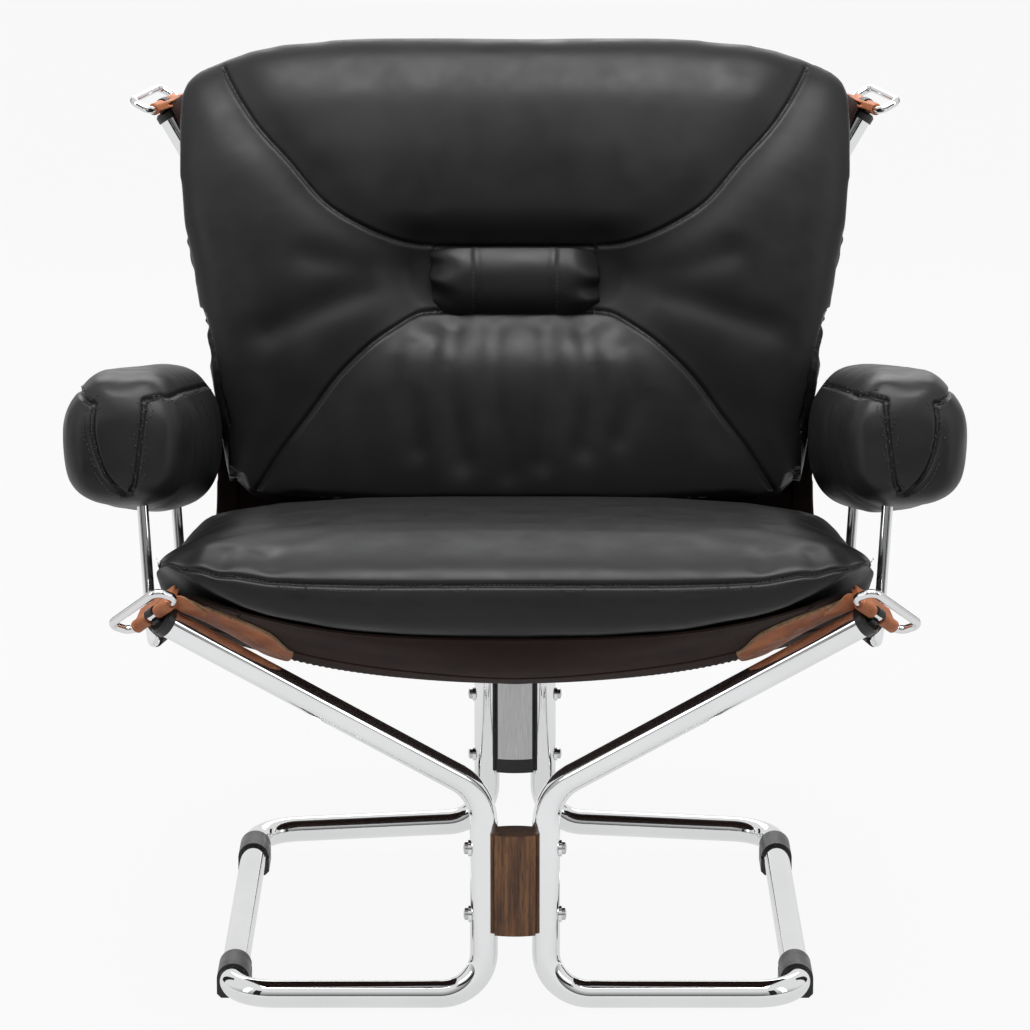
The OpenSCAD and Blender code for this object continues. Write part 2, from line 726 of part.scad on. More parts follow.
module canvas_sling() {
  nu = 26;
  nv = 14;
  row = nv + 1;
  page = (nu + 1) * row;
  top = [for (i = [0 : nu]) for (j = [0 : nv])
    sling_face(i * last_station / nu, 2 * j / nv - 1, sling_t / 2)];
  low = [for (i = [0 : nu]) for (j = [0 : nv])
    sling_face(i * last_station / nu, 2 * j / nv - 1, -sling_t / 2)];
  up_faces = [for (i = [0 : nu - 1]) for (j = [0 : nv - 1]) for (k = [0, 1])
    let (a = i * row + j, b = a + 1, c = a + row, d = c + 1) k == 0 ? [a, c, b] : [b, c, d]];
  low_faces = [for (f = up_faces) [f[0] + page, f[2] + page, f[1] + page]];
  rim = concat(
    [for (j = [0 : nv]) j],
    [for (i = [1 : nu]) i * row + nv],
    [for (j = [nv - 1 : -1 : 0]) nu * row + j],
    [for (i = [nu - 1 : -1 : 1]) i * row]);
  rim_faces = [for (i = [0 : len(rim) - 1]) for (k = [0, 1])
    let (a = rim[i], b = rim[(i + 1) % len(rim)])
    k == 0 ? [a, b, a + page] : [b, b + page, a + page]];
  placed() color([0.23, 0.15, 0.15])
    polyhedron(concat(top, low), concat(up_faces, low_faces, rim_faces), convexity = 8);
}

// seat cushion: side loops follow the sling below and their own outline above
cushion_v_shares = [-1, -0.985, -0.94, -0.86, -0.7, -0.45, -0.22, 0, 0.22, 0.45, 0.7, 0.86, 0.94, 0.985, 1];
cushion_k_shares = [0.62, 0.82, 0.95, 1, 1, 1, 1, 1, 1, 1, 1, 1, 0.95, 0.82, 0.62];
crown_power = 4;
seat_low_u = [0, 0.4, 1, 1.7, 2.5, 3.3, 4.2, 5.1, 6, 6.8, 7.3];
// y as a share of the reach and z as a share of the crest height
seat_mid_shares = [
  [0.425, 0.735], [0.355, 0.801], [0.225, 0.839], [0.095, 0.876], [-0.142, 0.923], [-0.425, 0.968],
  [-0.709, 0.998], [-0.887, 1.000], [-0.965, 0.983], [-0.993, 0.957], [-1.000, 0.910], [-0.988, 0.865], [-0.976, 0.850]
];
seat_side_shares = [
  [0.425, 0.725], [0.355, 0.775], [0.225, 0.797], [0.095, 0.822], [-0.142, 0.859], [-0.425, 0.901],
  [-0.709, 0.942], [-0.863, 0.966], [-0.905, 0.970], [-0.924, 0.966], [-0.929, 0.960], [-0.924, 0.957], [-0.915, 0.953]
];
low_gap = sling_t / 2 + cushion_gap;
function seat_point(x, v, i) = let (n = len(seat_mid_shares))
  i < n
  ? let (q = mix(seat_mid_shares[i], seat_side_shares[i], pow(abs(v), crown_power)))
    [x, q[0] * seat_reach, q[1] * seat_top_z]
  : let (u = seat_low_u[i - n], e = smooth(sling_edge, u), k = pow(abs(v), lift_power) * max(0, 1 - u / 3),
      s = sling_face(u, x / e[0], low_gap) + [0, 0, k * strap_room])
    [x, s[1], s[2]];
function seat_loop(v) = [for (i = [0 : len(seat_mid_shares) + len(seat_low_u) - 1])
  seat_point(v * seat_half_w, v, i)];
function shrink(l, k) = let (c = centre(l)) [for (q = l) [q[0], mix(c[1], q[1], 1 - (1 - k) * 0.4), mix(c[2], q[2], k)]];

module seat_shell(core, wide) {
  skin([for (j = [0 : len(cushion_v_shares) - 1])
    drawn(shrink(seat_loop(-cushion_v_shares[j]), cushion_k_shares[j]), core, wide)]);
}

module seat_cushion() {
  placed() color([0.3, 0.3, 0.31])
    difference() {
      seat_shell(1, 1);
      seat_shell(core_share, core_wide_share);
    }
}

module seat_foam() {
  placed() color("khaki") seat_shell(core_share, core_wide_share);
}

// back cushion: narrow between the arms and full above them
back_rear_u = [8.5, 9, 9.5, 10, 10.5, 11, 11.5, 12];
// y and z as shares of the crest height, and the waist as 0 or 1
back_mid_shares = [
  [0.384, 0.905], [0.383, 0.940], [0.371, 0.972], [0.350, 0.992], [0.328, 1.000], [0.298, 0.986],
  [0.263, 0.943], [0.235, 0.880], [0.212, 0.805], [0.202, 0.767], [0.193, 0.730], [0.185, 0.686], [0.178, 0.640],
  [0.165, 0.550], [0.161, 0.490], [0.172, 0.472], [0.212, 0.462]
];
back_side_shares = [
  [0.372, 0.900], [0.374, 0.922], [0.370, 0.938], [0.360, 0.948], [0.346, 0.952], [0.322, 0.944],
  [0.292, 0.912], [0.264, 0.865], [0.239, 0.800], [0.228, 0.766], [0.217, 0.730], [0.208, 0.686], [0.200, 0.640],
  [0.187, 0.550], [0.184, 0.494], [0.192, 0.480], [0.214, 0.468]
];
back_wide_shares = [1, 1, 1, 1, 1, 1, 1, 1, 0.93, 0.8, 0.68, 0.55, 0.33, 0, 0, 0, 0];
rear_wide_shares = [0, 0, 0.1, 0.75, 1, 1, 1, 1];
function hollow(x, z) = tuft_depth
  * exp(-pow(max(0, abs(x) - tuft_half_w) / tuft_reach, 2) - pow((z - tuft_z) / tuft_reach, 2));
function back_point(v, i) = let (n = len(back_mid_shares))
  i < n
  ? let (q = mix(back_mid_shares[i], back_side_shares[i], pow(abs(v), crown_power)) * back_top_z,
      x = v * mix(back_waist_half_w, back_half_w, back_wide_shares[i]))
    [x, q[0] + hollow(x, q[1]), q[1]]
  : let (u = back_rear_u[i - n], e = smooth(sling_edge, u),
      x = v * mix(back_waist_half_w, back_half_w, rear_wide_shares[i - n]),
      s = sling_face(u, x / e[0], sling_t / 2 + back_gap))
    [x, s[1], s[2]];
function back_loop(v) = [for (i = [0 : len(back_mid_shares) + len(back_rear_u) - 1]) back_point(v, i)];
function tuck(l, k) = let (c = centre(l)) [for (q = l) [q[0], mix(c[1], q[1], k), mix(c[2], q[2], 1 - (1 - k) * 0.3)]];

module back_shell(core, wide) {
  skin([for (j = [0 : len(cushion_v_shares) - 1])
    drawn(tuck(back_loop(-cushion_v_shares[j]), cushion_k_shares[j]), core, wide)]);
}

module back_cushion() {
  placed() color([0.28, 0.28, 0.29])
    difference() {
      back_shell(1, 1);
      back_shell(core_share, core_wide_share);
    }
}

module back_foam() {
  placed() color("khaki") back_shell(core_share, core_wide_share);
}

frame_tube_left();
frame_tube_right();
cap_front_left();
cap_rear_left();
cap_front_right();
cap_rear_right();
ring_front_left();
ring_rear_left();
ring_front_right();
ring_rear_right();
strap_front_left();
strap_rear_left();
strap_front_right();
strap_rear_right();
canvas_sling();
seat_cushion();
seat_foam();
back_cushion();
back_foam();
arm_rod_left();
arm_rod_right();
arm_sleeve_left();
arm_sleeve_right();
arm_board_left();
arm_board_right();
arm_pad_left();
arm_pad_right();
front_spacer();
rear_spacer();
rear_plate();
front_bolts();
front_nuts();
front_washers();
rear_bolts();
rear_nuts();
rear_washers();
glide_front_left();
glide_rear_left();
glide_front_right();
glide_rear_right();
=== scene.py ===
import math

import bmesh
import bpy
from mathutils import Matrix, Vector
from mathutils.bvhtree import BVHTree
from mathutils.kdtree import KDTree


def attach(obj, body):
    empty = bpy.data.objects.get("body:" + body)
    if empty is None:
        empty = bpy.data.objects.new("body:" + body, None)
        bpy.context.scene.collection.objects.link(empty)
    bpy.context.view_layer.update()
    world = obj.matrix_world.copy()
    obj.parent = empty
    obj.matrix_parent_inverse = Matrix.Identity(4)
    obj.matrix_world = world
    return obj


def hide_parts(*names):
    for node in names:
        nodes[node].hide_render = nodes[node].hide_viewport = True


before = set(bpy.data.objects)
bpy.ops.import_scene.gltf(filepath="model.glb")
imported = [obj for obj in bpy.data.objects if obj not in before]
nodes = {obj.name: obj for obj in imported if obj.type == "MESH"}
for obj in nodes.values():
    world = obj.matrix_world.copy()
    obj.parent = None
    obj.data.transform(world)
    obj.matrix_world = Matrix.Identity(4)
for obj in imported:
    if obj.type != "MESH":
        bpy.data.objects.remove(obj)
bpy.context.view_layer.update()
scene = bpy.context.scene

# Camera: square on to the front and a little above it, far back so that the
# upright tubes stay nearly parallel.
camera_target = Vector((0, 0.024, 0.404))
camera_distance = 4.697
camera_elevation = math.radians(13.6)
camera = bpy.data.objects.new("camera", bpy.data.cameras.new("camera"))
camera.data.lens = 175.4
camera.data.clip_end = 60
camera.location = camera_target + camera_distance * Vector(
    (0, -math.cos(camera_elevation), math.sin(camera_elevation))
)
camera.rotation_euler = (math.pi / 2 - camera_elevation, 0, 0)
scene.collection.objects.link(camera)
scene.camera = camera
scene.view_settings.view_transform = "Standard"

# Studio: a white room of light, a pale floor, one broad lamp overhead and two tall
# ones at the sides, with dark cards beside the camera that only the chrome sees.
room = bpy.data.worlds.new("room")
room.use_nodes = True
scene.world = room
tree = room.node_tree
tree.nodes.clear()
way = tree.nodes.new("ShaderNodeTexCoord")
parts = tree.nodes.new("ShaderNodeSeparateXYZ")
tree.links.new(way.outputs["Generated"], parts.inputs[0])
rearward = tree.nodes.new("ShaderNodeMath")
rearward.operation = "MULTIPLY_ADD"
tree.links.new(parts.outputs["Y"], rearward.inputs[0])
rearward.inputs[1].default_value = 0.45
tree.links.new(parts.outputs["Z"], rearward.inputs[2])
ramp = tree.nodes.new("ShaderNodeMapRange")
ramp.inputs["From Min"].default_value = -0.42
ramp.inputs["From Max"].default_value = 0.3
ramp.inputs["To Min"].default_value = 0.08
tree.links.new(rearward.outputs[0], ramp.inputs["Value"])
soft_light = tree.nodes.new("ShaderNodeBackground")
soft_light.inputs["Color"].default_value = (0.93, 0.96, 1, 1)
soft_light.inputs["Strength"].default_value = 0.3
bright_wall = tree.nodes.new("ShaderNodeBackground")
tree.links.new(ramp.outputs["Result"], bright_wall.inputs["Strength"])
white_wall = tree.nodes.new("ShaderNodeBackground")
white_wall.inputs["Color"].default_value = (1, 1, 1, 1)
ray = tree.nodes.new("ShaderNodeLightPath")
seen = tree.nodes.new("ShaderNodeMath")
seen.operation = "MAXIMUM"
tree.links.new(ray.outputs["Is Camera Ray"], seen.inputs[0])
tree.links.new(ray.outputs["Is Transmission Ray"], seen.inputs[1])
mirrored_light = tree.nodes.new("ShaderNodeMixShader")
tree.links.new(ray.outputs["Is Glossy Ray"], mirrored_light.inputs[0])
tree.links.new(soft_light.outputs[0], mirrored_light.inputs[1])
tree.links.new(bright_wall.outputs[0], mirrored_light.inputs[2])
mixed = tree.nodes.new("ShaderNodeMixShader")
tree.links.new(seen.outputs[0], mixed.inputs[0])
tree.links.new(mirrored_light.outputs[0], mixed.inputs[1])
tree.links.new(white_wall.outputs[0], mixed.inputs[2])
tree.links.new(mixed.outputs[0], tree.nodes.new("ShaderNodeOutputWorld").inputs[0])

floor_half = 12
floor_mesh = bpy.data.meshes.new("floor")
shape = bmesh.new()
bmesh.ops.create_grid(shape, x_segments=1, y_segments=1, size=floor_half)
shape.to_mesh(floor_mesh)
shape.free()
floor = bpy.data.objects.new("floor", floor_mesh)
scene.collection.objects.link(floor)
paint = bpy.data.materials.new("pale floor")
paint.use_nodes = True
tree = paint.node_tree
tree.nodes.clear()
matt = tree.nodes.new("ShaderNodeBsdfDiffuse")
matt.inputs["Color"].default_value = (0.42, 0.42, 0.42, 1)
glow = tree.nodes.new("ShaderNodeEmission")
ray = tree.nodes.new("ShaderNodeLightPath")
share = tree.nodes.new("ShaderNodeMath")
share.operation = "MULTIPLY"
share.inputs[1].default_value = 0.93
tree.links.new(ray.outputs["Is Camera Ray"], share.inputs[0])
mirrored_floor = tree.nodes.new("ShaderNodeMath")
mirrored_floor.operation = "MULTIPLY_ADD"
mirrored_floor.inputs[1].default_value = 0.7
tree.links.new(ray.outputs["Is Glossy Ray"], mirrored_floor.inputs[0])
tree.links.new(share.outputs[0], mirrored_floor.inputs[2])
mixed = tree.nodes.new("ShaderNodeMixShader")
tree.links.new(mirrored_floor.outputs[0], mixed.inputs[0])
tree.links.new(matt.outputs[0], mixed.inputs[1])
tree.links.new(glow.outputs[0], mixed.inputs[2])
tree.links.new(mixed.outputs[0], tree.nodes.new("ShaderNodeOutputMaterial").inputs[0])
floor_mesh.materials.append(paint)


def lamp(name, place, size, power):
    light = bpy.data.lights.new(name, "AREA")
    light.shape = "RECTANGLE"
    light.size = size[0]
    light.size_y = size[1]
    light.energy = power
    made = bpy.data.objects.new(name, light)
    made.location = place
    made.rotation_euler = (Vector((0, 0, 0.45)) - Vector(place)).to_track_quat("-Z", "Y").to_euler()
    scene.collection.objects.link(made)


lamp("overhead", (0, -0.8, 3.0), (2.6, 1.3), 86)
lamp("left side", (-3.0, -1.6, 1.6), (0.7, 2.2), 10)
lamp("right side", (3.0, -1.6, 1.6), (0.7, 2.2), 10)
lamp("behind", (0, 3.0, 2.2), (2.6, 1.2), 26)


def dark_card(name, place, width, height):
    mesh = bpy.data.meshes.new(name)
    card = bmesh.new()
    bmesh.ops.create_grid(card, x_segments=1, y_segments=1, size=0.5)
    bmesh.ops.scale(card, vec=(width, height, 1), verts=card.verts)
    turn = (Vector((0, 0, place[2])) - Vector(place)).to_track_quat("Z", "Y").to_matrix().to_4x4()
    bmesh.ops.transform(card, matrix=Matrix.Translation(place) @ turn, verts=card.verts)
    card.to_mesh(mesh)
    card.free()
    made = bpy.data.objects.new(name, mesh)
    black = bpy.data.materials.new(name)
    black.use_nodes = True
    black.node_tree.nodes["Principled BSDF"].inputs["Base Color"].default_value = (0.01, 0.01, 0.01, 1)
    black.node_tree.nodes["Principled BSDF"].inputs["Roughness"].default_value = 1
    mesh.materials.append(black)
    made.visible_camera = False
    made.visible_diffuse = False
    made.visible_shadow = False
    scene.collection.objects.link(made)


for side in (-1, 1):
    dark_card(f"card_{'right' if side > 0 else 'left'}", (side * 2.1, -2.6, 1.0), 0.8, 2.6)
    dark_card(f"card_rear_{'right' if side > 0 else 'left'}", (side * 2.4, 1.8, 1.0), 0.7, 2.6)

# Frame tubes: two bent steel tubes, 25 mm across and chrome plated. They are the CAD
# solids, with a bright plate that shows faint polishing haze and fine rubbing marks.


def nodes_of(name, colour, metallic, roughness):
    """A new material with its shader, and the object coordinates for its patterns."""
    made = bpy.data.materials.new(name)
    made.use_nodes = True
    shader = made.node_tree.nodes["Principled BSDF"]
    shader.inputs["Base Color"].default_value = (*colour, 1)
    shader.inputs["Metallic"].default_value = metallic
    shader.inputs["Roughness"].default_value = roughness
    place = made.node_tree.nodes.new("ShaderNodeTexCoord")
    return made, made.node_tree, shader, place.outputs["Object"]


def speckle(tree, place, scale, detail=3.0):
    """Smooth noise over the piece, from 0 to 1."""
    grain = tree.nodes.new("ShaderNodeTexNoise")
    grain.inputs["Scale"].default_value = scale
    grain.inputs["Detail"].default_value = detail
    tree.links.new(place, grain.inputs["Vector"])
    return grain.outputs["Fac"]


def spread(tree, value, low, high, start=0.3, end=0.7):
    """A noise value stretched to run from low to high."""
    change = tree.nodes.new("ShaderNodeMapRange")
    change.inputs["From Min"].default_value = start
    change.inputs["From Max"].default_value = end
    change.inputs["To Min"].default_value = low
    change.inputs["To Max"].default_value = high
    tree.links.new(value, change.inputs["Value"])
    return change.outputs["Result"]


def two_tone(tree, value, shader, dark, pale):
    """Base colour between two colours, by a value from 0 to 1."""
    blend = tree.nodes.new("ShaderNodeMix")
    blend.data_type = "RGBA"
    blend.inputs["A"].default_value = (*dark, 1)
    blend.inputs["B"].default_value = (*pale, 1)
    tree.links.new(value, blend.inputs["Factor"])
    tree.links.new(blend.outputs["Result"], shader.inputs["Base Color"])
    return blend


def relief(tree, shader, heights):
    """Bumps for (height, strength, depth), one over another."""
    normal = None
    for height, strength, depth in heights:
        bump = tree.nodes.new("ShaderNodeBump")
        bump.inputs["Strength"].default_value = strength
        bump.inputs["Distance"].default_value = depth
        tree.links.new(height, bump.inputs["Height"])
        if normal is not None:
            tree.links.new(normal, bump.inputs["Normal"])
        normal = bump.outputs["Normal"]
    tree.links.new(normal, shader.inputs["Normal"])


def chrome_plate(name, colour, haze):
    made, tree, shader, place = nodes_of(name, colour, 1, haze)
    smear = speckle(tree, place, 38)
    tree.links.new(spread(tree, smear, haze * 0.6, haze * 1.7), shader.inputs["Roughness"])
    two_tone(tree, spread(tree, speckle(tree, place, 9), 0, 1), shader, [c * 0.93 for c in colour], colour)
    relief(tree, shader, [(speckle(tree, place, 260), 0.04, 0.0002)])
    return made


def dress(material, *names):
    """Gives CAD nodes their finish."""
    for name in names:
        nodes[name].data.materials.clear()
        nodes[name].data.materials.append(material)


tube_chrome = chrome_plate("tube chrome", (0.9, 0.905, 0.91), 0.04)
dress(tube_chrome, "frame_tube_left", "frame_tube_right", "arm_rod_left", "arm_rod_right")

# Centre blocks: a walnut block in front and a black one behind hold the two tubes
# apart, each with two bolts, sleeve nuts and cupped washers; a blank metal plate
# lies on the rear one.
walnut, tree, shader, place = nodes_of("walnut", (0.3, 0.14, 0.07), 0, 0.42)
stretch = tree.nodes.new("ShaderNodeMapping")
stretch.inputs["Scale"].default_value = (1, 1, 0.06)
tree.links.new(place, stretch.inputs["Vector"])
figure = speckle(tree, stretch.outputs[0], 210, 6)
pores = speckle(tree, stretch.outputs[0], 1300, 2)
figured = two_tone(
    tree, spread(tree, figure, 0, 1, 0.36, 0.64), shader, (0.1, 0.036, 0.013), (0.36, 0.17, 0.072)
)
darker = tree.nodes.new("ShaderNodeMix")
darker.data_type = "RGBA"
darker.blend_type = "MULTIPLY"
darker.inputs["B"].default_value = (0.35, 0.27, 0.22, 1)
tree.links.new(spread(tree, pores, 0, 1, 0.55, 0.68), darker.inputs["Factor"])
tree.links.new(figured.outputs["Result"], darker.inputs["A"])
tree.links.new(darker.outputs["Result"], shader.inputs["Base Color"])
tree.links.new(spread(tree, figure, 0.36, 0.52), shader.inputs["Roughness"])
relief(tree, shader, [(pores, 0.25, 0.0004)])
dress(walnut, "front_spacer")


def moulded(name, colour, roughness, grain):
    made, tree, shader, place = nodes_of(name, colour, 0, roughness)
    rough = speckle(tree, place, 45)
    tree.links.new(spread(tree, rough, roughness * 0.8, roughness * 1.25), shader.inputs["Roughness"])
    two_tone(tree, spread(tree, speckle(tree, place, 14), 0, 1), shader, [c * 0.7 for c in colour], colour)
    relief(tree, shader, [(speckle(tree, place, grain), 0.2, 0.0003)])
    return made


dress(moulded("black block", (0.02, 0.02, 0.021), 0.4, 900), "rear_spacer")

plate_metal, tree, shader, place = nodes_of("blank plate", (0.55, 0.55, 0.55), 1, 0.34)
brush = tree.nodes.new("ShaderNodeMapping")
brush.inputs["Scale"].default_value = (1, 1, 0.02)
tree.links.new(place, brush.inputs["Vector"])
strokes = speckle(tree, brush.outputs[0], 2600, 2)
tree.links.new(spread(tree, strokes, 0.28, 0.42), shader.inputs["Roughness"])
two_tone(tree, spread(tree, strokes, 0, 1), shader, (0.46, 0.46, 0.46), (0.66, 0.66, 0.66))
relief(tree, shader, [(strokes, 0.15, 0.0002)])
dress(plate_metal, "rear_plate")

bolt_zinc = chrome_plate("bright zinc", (0.62, 0.62, 0.63), 0.2)
dress(bolt_zinc, "front_bolts", "front_nuts", "rear_bolts", "rear_nuts")
dress(chrome_plate("washer chrome", (0.86, 0.86, 0.87), 0.07), "front_washers", "rear_washers")

# Glides and end caps: moulded black plastic. The glides clip round the floor loops,
# and each cap plugs a tube's end and holds a ring's inner rod in its hook.
black_plastic = moulded("black plastic", (0.018, 0.018, 0.019), 0.36, 700)
glide_nodes = [f"glide_{end}_{side}" for end in ("front", "rear") for side in ("left", "right")]
cap_nodes = [f"cap_{end}_{side}" for end in ("front", "rear") for side in ("left", "right")]
dress(black_plastic, *glide_nodes, *cap_nodes)

# Pull rings: rounded rectangles of chromed rod, which swing in the hooks.
ring_nodes = [f"ring_{end}_{side}" for end in ("front", "rear") for side in ("left", "right")]
dress(chrome_plate("ring chrome", (0.82, 0.82, 0.83), 0.06), *ring_nodes)

# Canvas sling: one sheet of dark brown canvas, hung from the four corners and lying
# on the arm bars. It is woven, doubled and stitched along its edges.
canvas_brown = (0.022, 0.0095, 0.0075)
canvas_thickness = 0.0019
hem_width = 0.0245
hem_rise = 0.0007


def welded(node):
    """A bmesh copy of a CAD node with its loose triangles joined."""
    form = bmesh.new()
    form.from_mesh(nodes[node].data)
    bmesh.ops.remove_doubles(form, verts=form.verts, dist=0.00001)
    return form


def piece_of(form, name, *materials):
    """A new smooth-shaded object from a bmesh."""
    mesh = bpy.data.meshes.new(name)
    form.to_mesh(mesh)
    form.free()
    mesh.shade_smooth()
    for material in materials:
        mesh.materials.append(material)
    made = bpy.data.objects.new(name, mesh)
    scene.collection.objects.link(made)
    return made


def settle(piece):
    """Applies a piece's modifiers to its mesh."""
    bpy.context.view_layer.update()
    graph = bpy.context.evaluated_depsgraph_get()
    mesh = bpy.data.meshes.new_from_object(piece.evaluated_get(graph), depsgraph=graph)
    piece.modifiers.clear()
    piece.data = mesh
    mesh.shade_smooth()


def facing(node, keep):
    """The faces of a CAD node for which keep(normal) is true, as quads."""
    form = welded(node)
    away = [face for face in form.faces if not keep(face.normal)]
    bmesh.ops.delete(form, geom=away, context="FACES")
    bmesh.ops.join_triangles(
        form, faces=form.faces, angle_face_threshold=math.pi, angle_shape_threshold=math.pi
    )
    return form


def top_face(normal):
    return normal.z > 0.05 or normal.y < -0.35


canvas_form = facing("canvas_sling", top_face)


def by_height(shares, height):
    """A share read off a list of (height, share), straight between its rows."""
    for (low, a), (high, b) in zip(shares, shares[1:]):
        if height <= high:
            return a + (b - a) * max(0, height - low) / (high - low)
    return shares[-1][1]


canvas_waist = [
    (0.28, 1), (0.34, 0.93), (0.5, 0.922), (0.56, 0.93), (0.62, 0.95), (0.7, 0.945), (0.73, 0.97), (0.75, 1)
]
waist_from = 0.1
waist_full = 0.2
for vert in canvas_form.verts:
    behind = min(1, max(0, (vert.co.y - waist_from) / (waist_full - waist_from)))
    vert.co.x *= 1 - behind * (1 - by_height(canvas_waist, vert.co.z))
canvas = piece_of(canvas_form, "canvas")
finer = canvas.modifiers.new("finer", "SUBSURF")
finer.levels = 3
finer.render_levels = 3
finer.boundary_smooth = "PRESERVE_CORNERS"
settle(canvas)
hem_form = bmesh.new()
hem_form.from_mesh(canvas.data)
cut_edge = [vert.co.copy() for vert in hem_form.verts if vert.is_boundary]
edge_lookup = KDTree(len(cut_edge))
for i, spot in enumerate(cut_edge):
    edge_lookup.insert(spot, i)
edge_lookup.balance()


def from_edge(vert):
    return edge_lookup.find(vert.co)[2]


inside = [face for face in hem_form.faces if max(from_edge(v) for v in face.verts) > hem_width]
bmesh.ops.delete(hem_form, geom=inside, context="FACES")
hem_form.normal_update()
sewing = []
for edge in hem_form.edges:
    a, b = edge.verts
    if edge.is_boundary and min(from_edge(a), from_edge(b)) > 0.01:
        sewing.append(((a.co + b.co) / 2, a.co - b.co, edge.link_faces[0].normal.copy()))
for vert in hem_form.verts:
    vert.co -= vert.normal * canvas_thickness / 2
hems = piece_of(hem_form, "canvas_hems")
doubled = hems.modifiers.new("thickness", "SOLIDIFY")
doubled.thickness = canvas_thickness + 2 * hem_rise
doubled.offset = 0
settle(hems)
rise = canvas.modifiers.new("thickness", "SOLIDIFY")
rise.thickness = canvas_thickness
rise.offset = -1
settle(canvas)
for cloth_piece in (canvas, hems):
    flat_map = cloth_piece.data.uv_layers.new(name="weave")
    for loop in cloth_piece.data.loops:
        spot = cloth_piece.data.vertices[loop.vertex_index].co
        flat_map.data[loop.index].uv = (spot.x, spot.y + (max(0, spot.z - 0.28) if spot.y > 0.1 else 0))
weave, tree, shader, place = nodes_of("brown canvas", canvas_brown, 0, 0.82)
shader.inputs["Sheen Weight"].default_value = 0.06
shader.inputs["Sheen Roughness"].default_value = 0.5
shader.inputs["Specular IOR Level"].default_value = 0.2
laid_flat = tree.nodes.new("ShaderNodeUVMap")
laid_flat.uv_map = "weave"
threads = []
for direction in ("X", "Y"):
    lines = tree.nodes.new("ShaderNodeTexWave")
    lines.bands_direction = direction
    lines.inputs["Scale"].default_value = 240
    lines.inputs["Distortion"].default_value = 0.5
    tree.links.new(laid_flat.outputs[0], lines.inputs["Vector"])
    threads.append(lines.outputs["Fac"])
crossed = tree.nodes.new("ShaderNodeMath")
crossed.operation = "MULTIPLY"
tree.links.new(threads[0], crossed.inputs[0])
tree.links.new(threads[1], crossed.inputs[1])
two_tone(
    tree, spread(tree, speckle(tree, place, 30), 0, 1), shader,
    [c * 0.75 for c in canvas_brown], [c * 1.3 for c in canvas_brown],
)
relief(tree, shader, [(speckle(tree, place, 18), 0.3, 0.004), (crossed.outputs[0], 0.35, 0.0004)])
canvas.data.materials.append(weave)
hems.data.materials.append(weave)
brown_thread = moulded("brown thread", (0.06, 0.03, 0.022), 0.7, 900)
seam_form = bmesh.new()
stitch_inset = 0.003
stitch_size = Matrix.Diagonal((0.0018, 0.0005, 0.0005, 1))
for spot, run, normal in sewing:
    towards_edge = edge_lookup.find(spot)[0] - spot
    spot = spot + towards_edge.normalized() * stitch_inset
    run.normalize()
    side = normal.cross(run).normalized()
    turn = Matrix((run, side, run.cross(side))).transposed().to_4x4()
    for lift in (hem_rise, -canvas_thickness - hem_rise):
        at = Matrix.Translation(spot + normal * lift)
        bmesh.ops.create_icosphere(seam_form, subdivisions=1, radius=1, matrix=at @ turn @ stitch_size)
hem_stitches = piece_of(seam_form, "hem_stitches", brown_thread)
for cloth_piece in (canvas, hems, hem_stitches):
    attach(cloth_piece, "base")
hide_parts("canvas_sling")

# Leather corners: straps of thick saddle leather, sewn to the canvas's corners, that
# loop round each ring's inner rod. Their cut edges are paler than the face.
tan, tree, shader, place = nodes_of("tan leather", (0.5, 0.17, 0.07), 0, 0.5)
two_tone(tree, spread(tree, speckle(tree, place, 60, 5), 0, 1), shader, (0.36, 0.1, 0.036), (0.6, 0.22, 0.09))
tree.links.new(spread(tree, speckle(tree, place, 90), 0.42, 0.62), shader.inputs["Roughness"])
relief(
    tree, shader, [(speckle(tree, place, 120, 4), 0.4, 0.0012), (speckle(tree, place, 900, 2), 0.3, 0.0004)]
)


def remeshed(piece, size):
    """Rebuilds a closed piece in even squares."""
    even = piece.modifiers.new("even", "REMESH")
    even.mode = "VOXEL"
    even.voxel_size = size
    settle(piece)


def evened_out(form, times, share):
    """Smooths all the points of a bmesh."""
    for _ in range(times):
        bmesh.ops.smooth_vert(
            form, verts=form.verts, factor=share, use_axis_x=True, use_axis_y=True, use_axis_z=True
        )


def smoothed(piece, times):
    form = bmesh.new()
    form.from_mesh(piece.data)
    evened_out(form, times, 0.5)
    form.to_mesh(piece.data)
    form.free()


for end in ("front", "rear"):
    for side in ("left", "right"):
        strap = piece_of(welded(f"strap_{end}_{side}"), f"leather_{end}_{side}", tan)
        remeshed(strap, 0.00065)
        smoothed(strap, 5)
        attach(strap, "base")
        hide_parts(f"strap_{end}_{side}")


def surface_of(piece):
    form = bmesh.new()
    form.from_mesh(piece.data)
    tree = BVHTree.FromBMesh(form)
    form.free()
    return tree


def evened(laid, reach=2):
    """A laid line with the small steps of the mesh under it averaged away."""
    even = []
    for i, (spot, normal) in enumerate(laid):
        around = [pair for pair in laid[max(0, i - reach) : i + reach + 1] if (pair[0] - spot).length < 0.012]
        middle = sum((s for s, _ in around), Vector()) / len(around)
        even.append((middle, sum((n for _, n in around), Vector()).normalized()))
    return even


def route_on(piece, points, look, step=0.002):
    """Points every 2 mm along a line, laid on the piece along look, or straight in where that is None."""
    tree = surface_of(piece)
    look = Vector(look) if look else None
    laid = []
    for a, b in zip(points, points[1:]):
        a = Vector(a)
        b = Vector(b)
        count = max(1, round((b - a).length / step))
        for i in range(count):
            spot = a.lerp(b, i / count)
            hit, normal, _, _ = tree.find_nearest(spot) if look is None else tree.ray_cast(spot - look, look)
            if hit is not None and (look is None or normal.dot(look) < -0.2 * look.length):
                laid.append((hit, normal))
    return evened(laid)


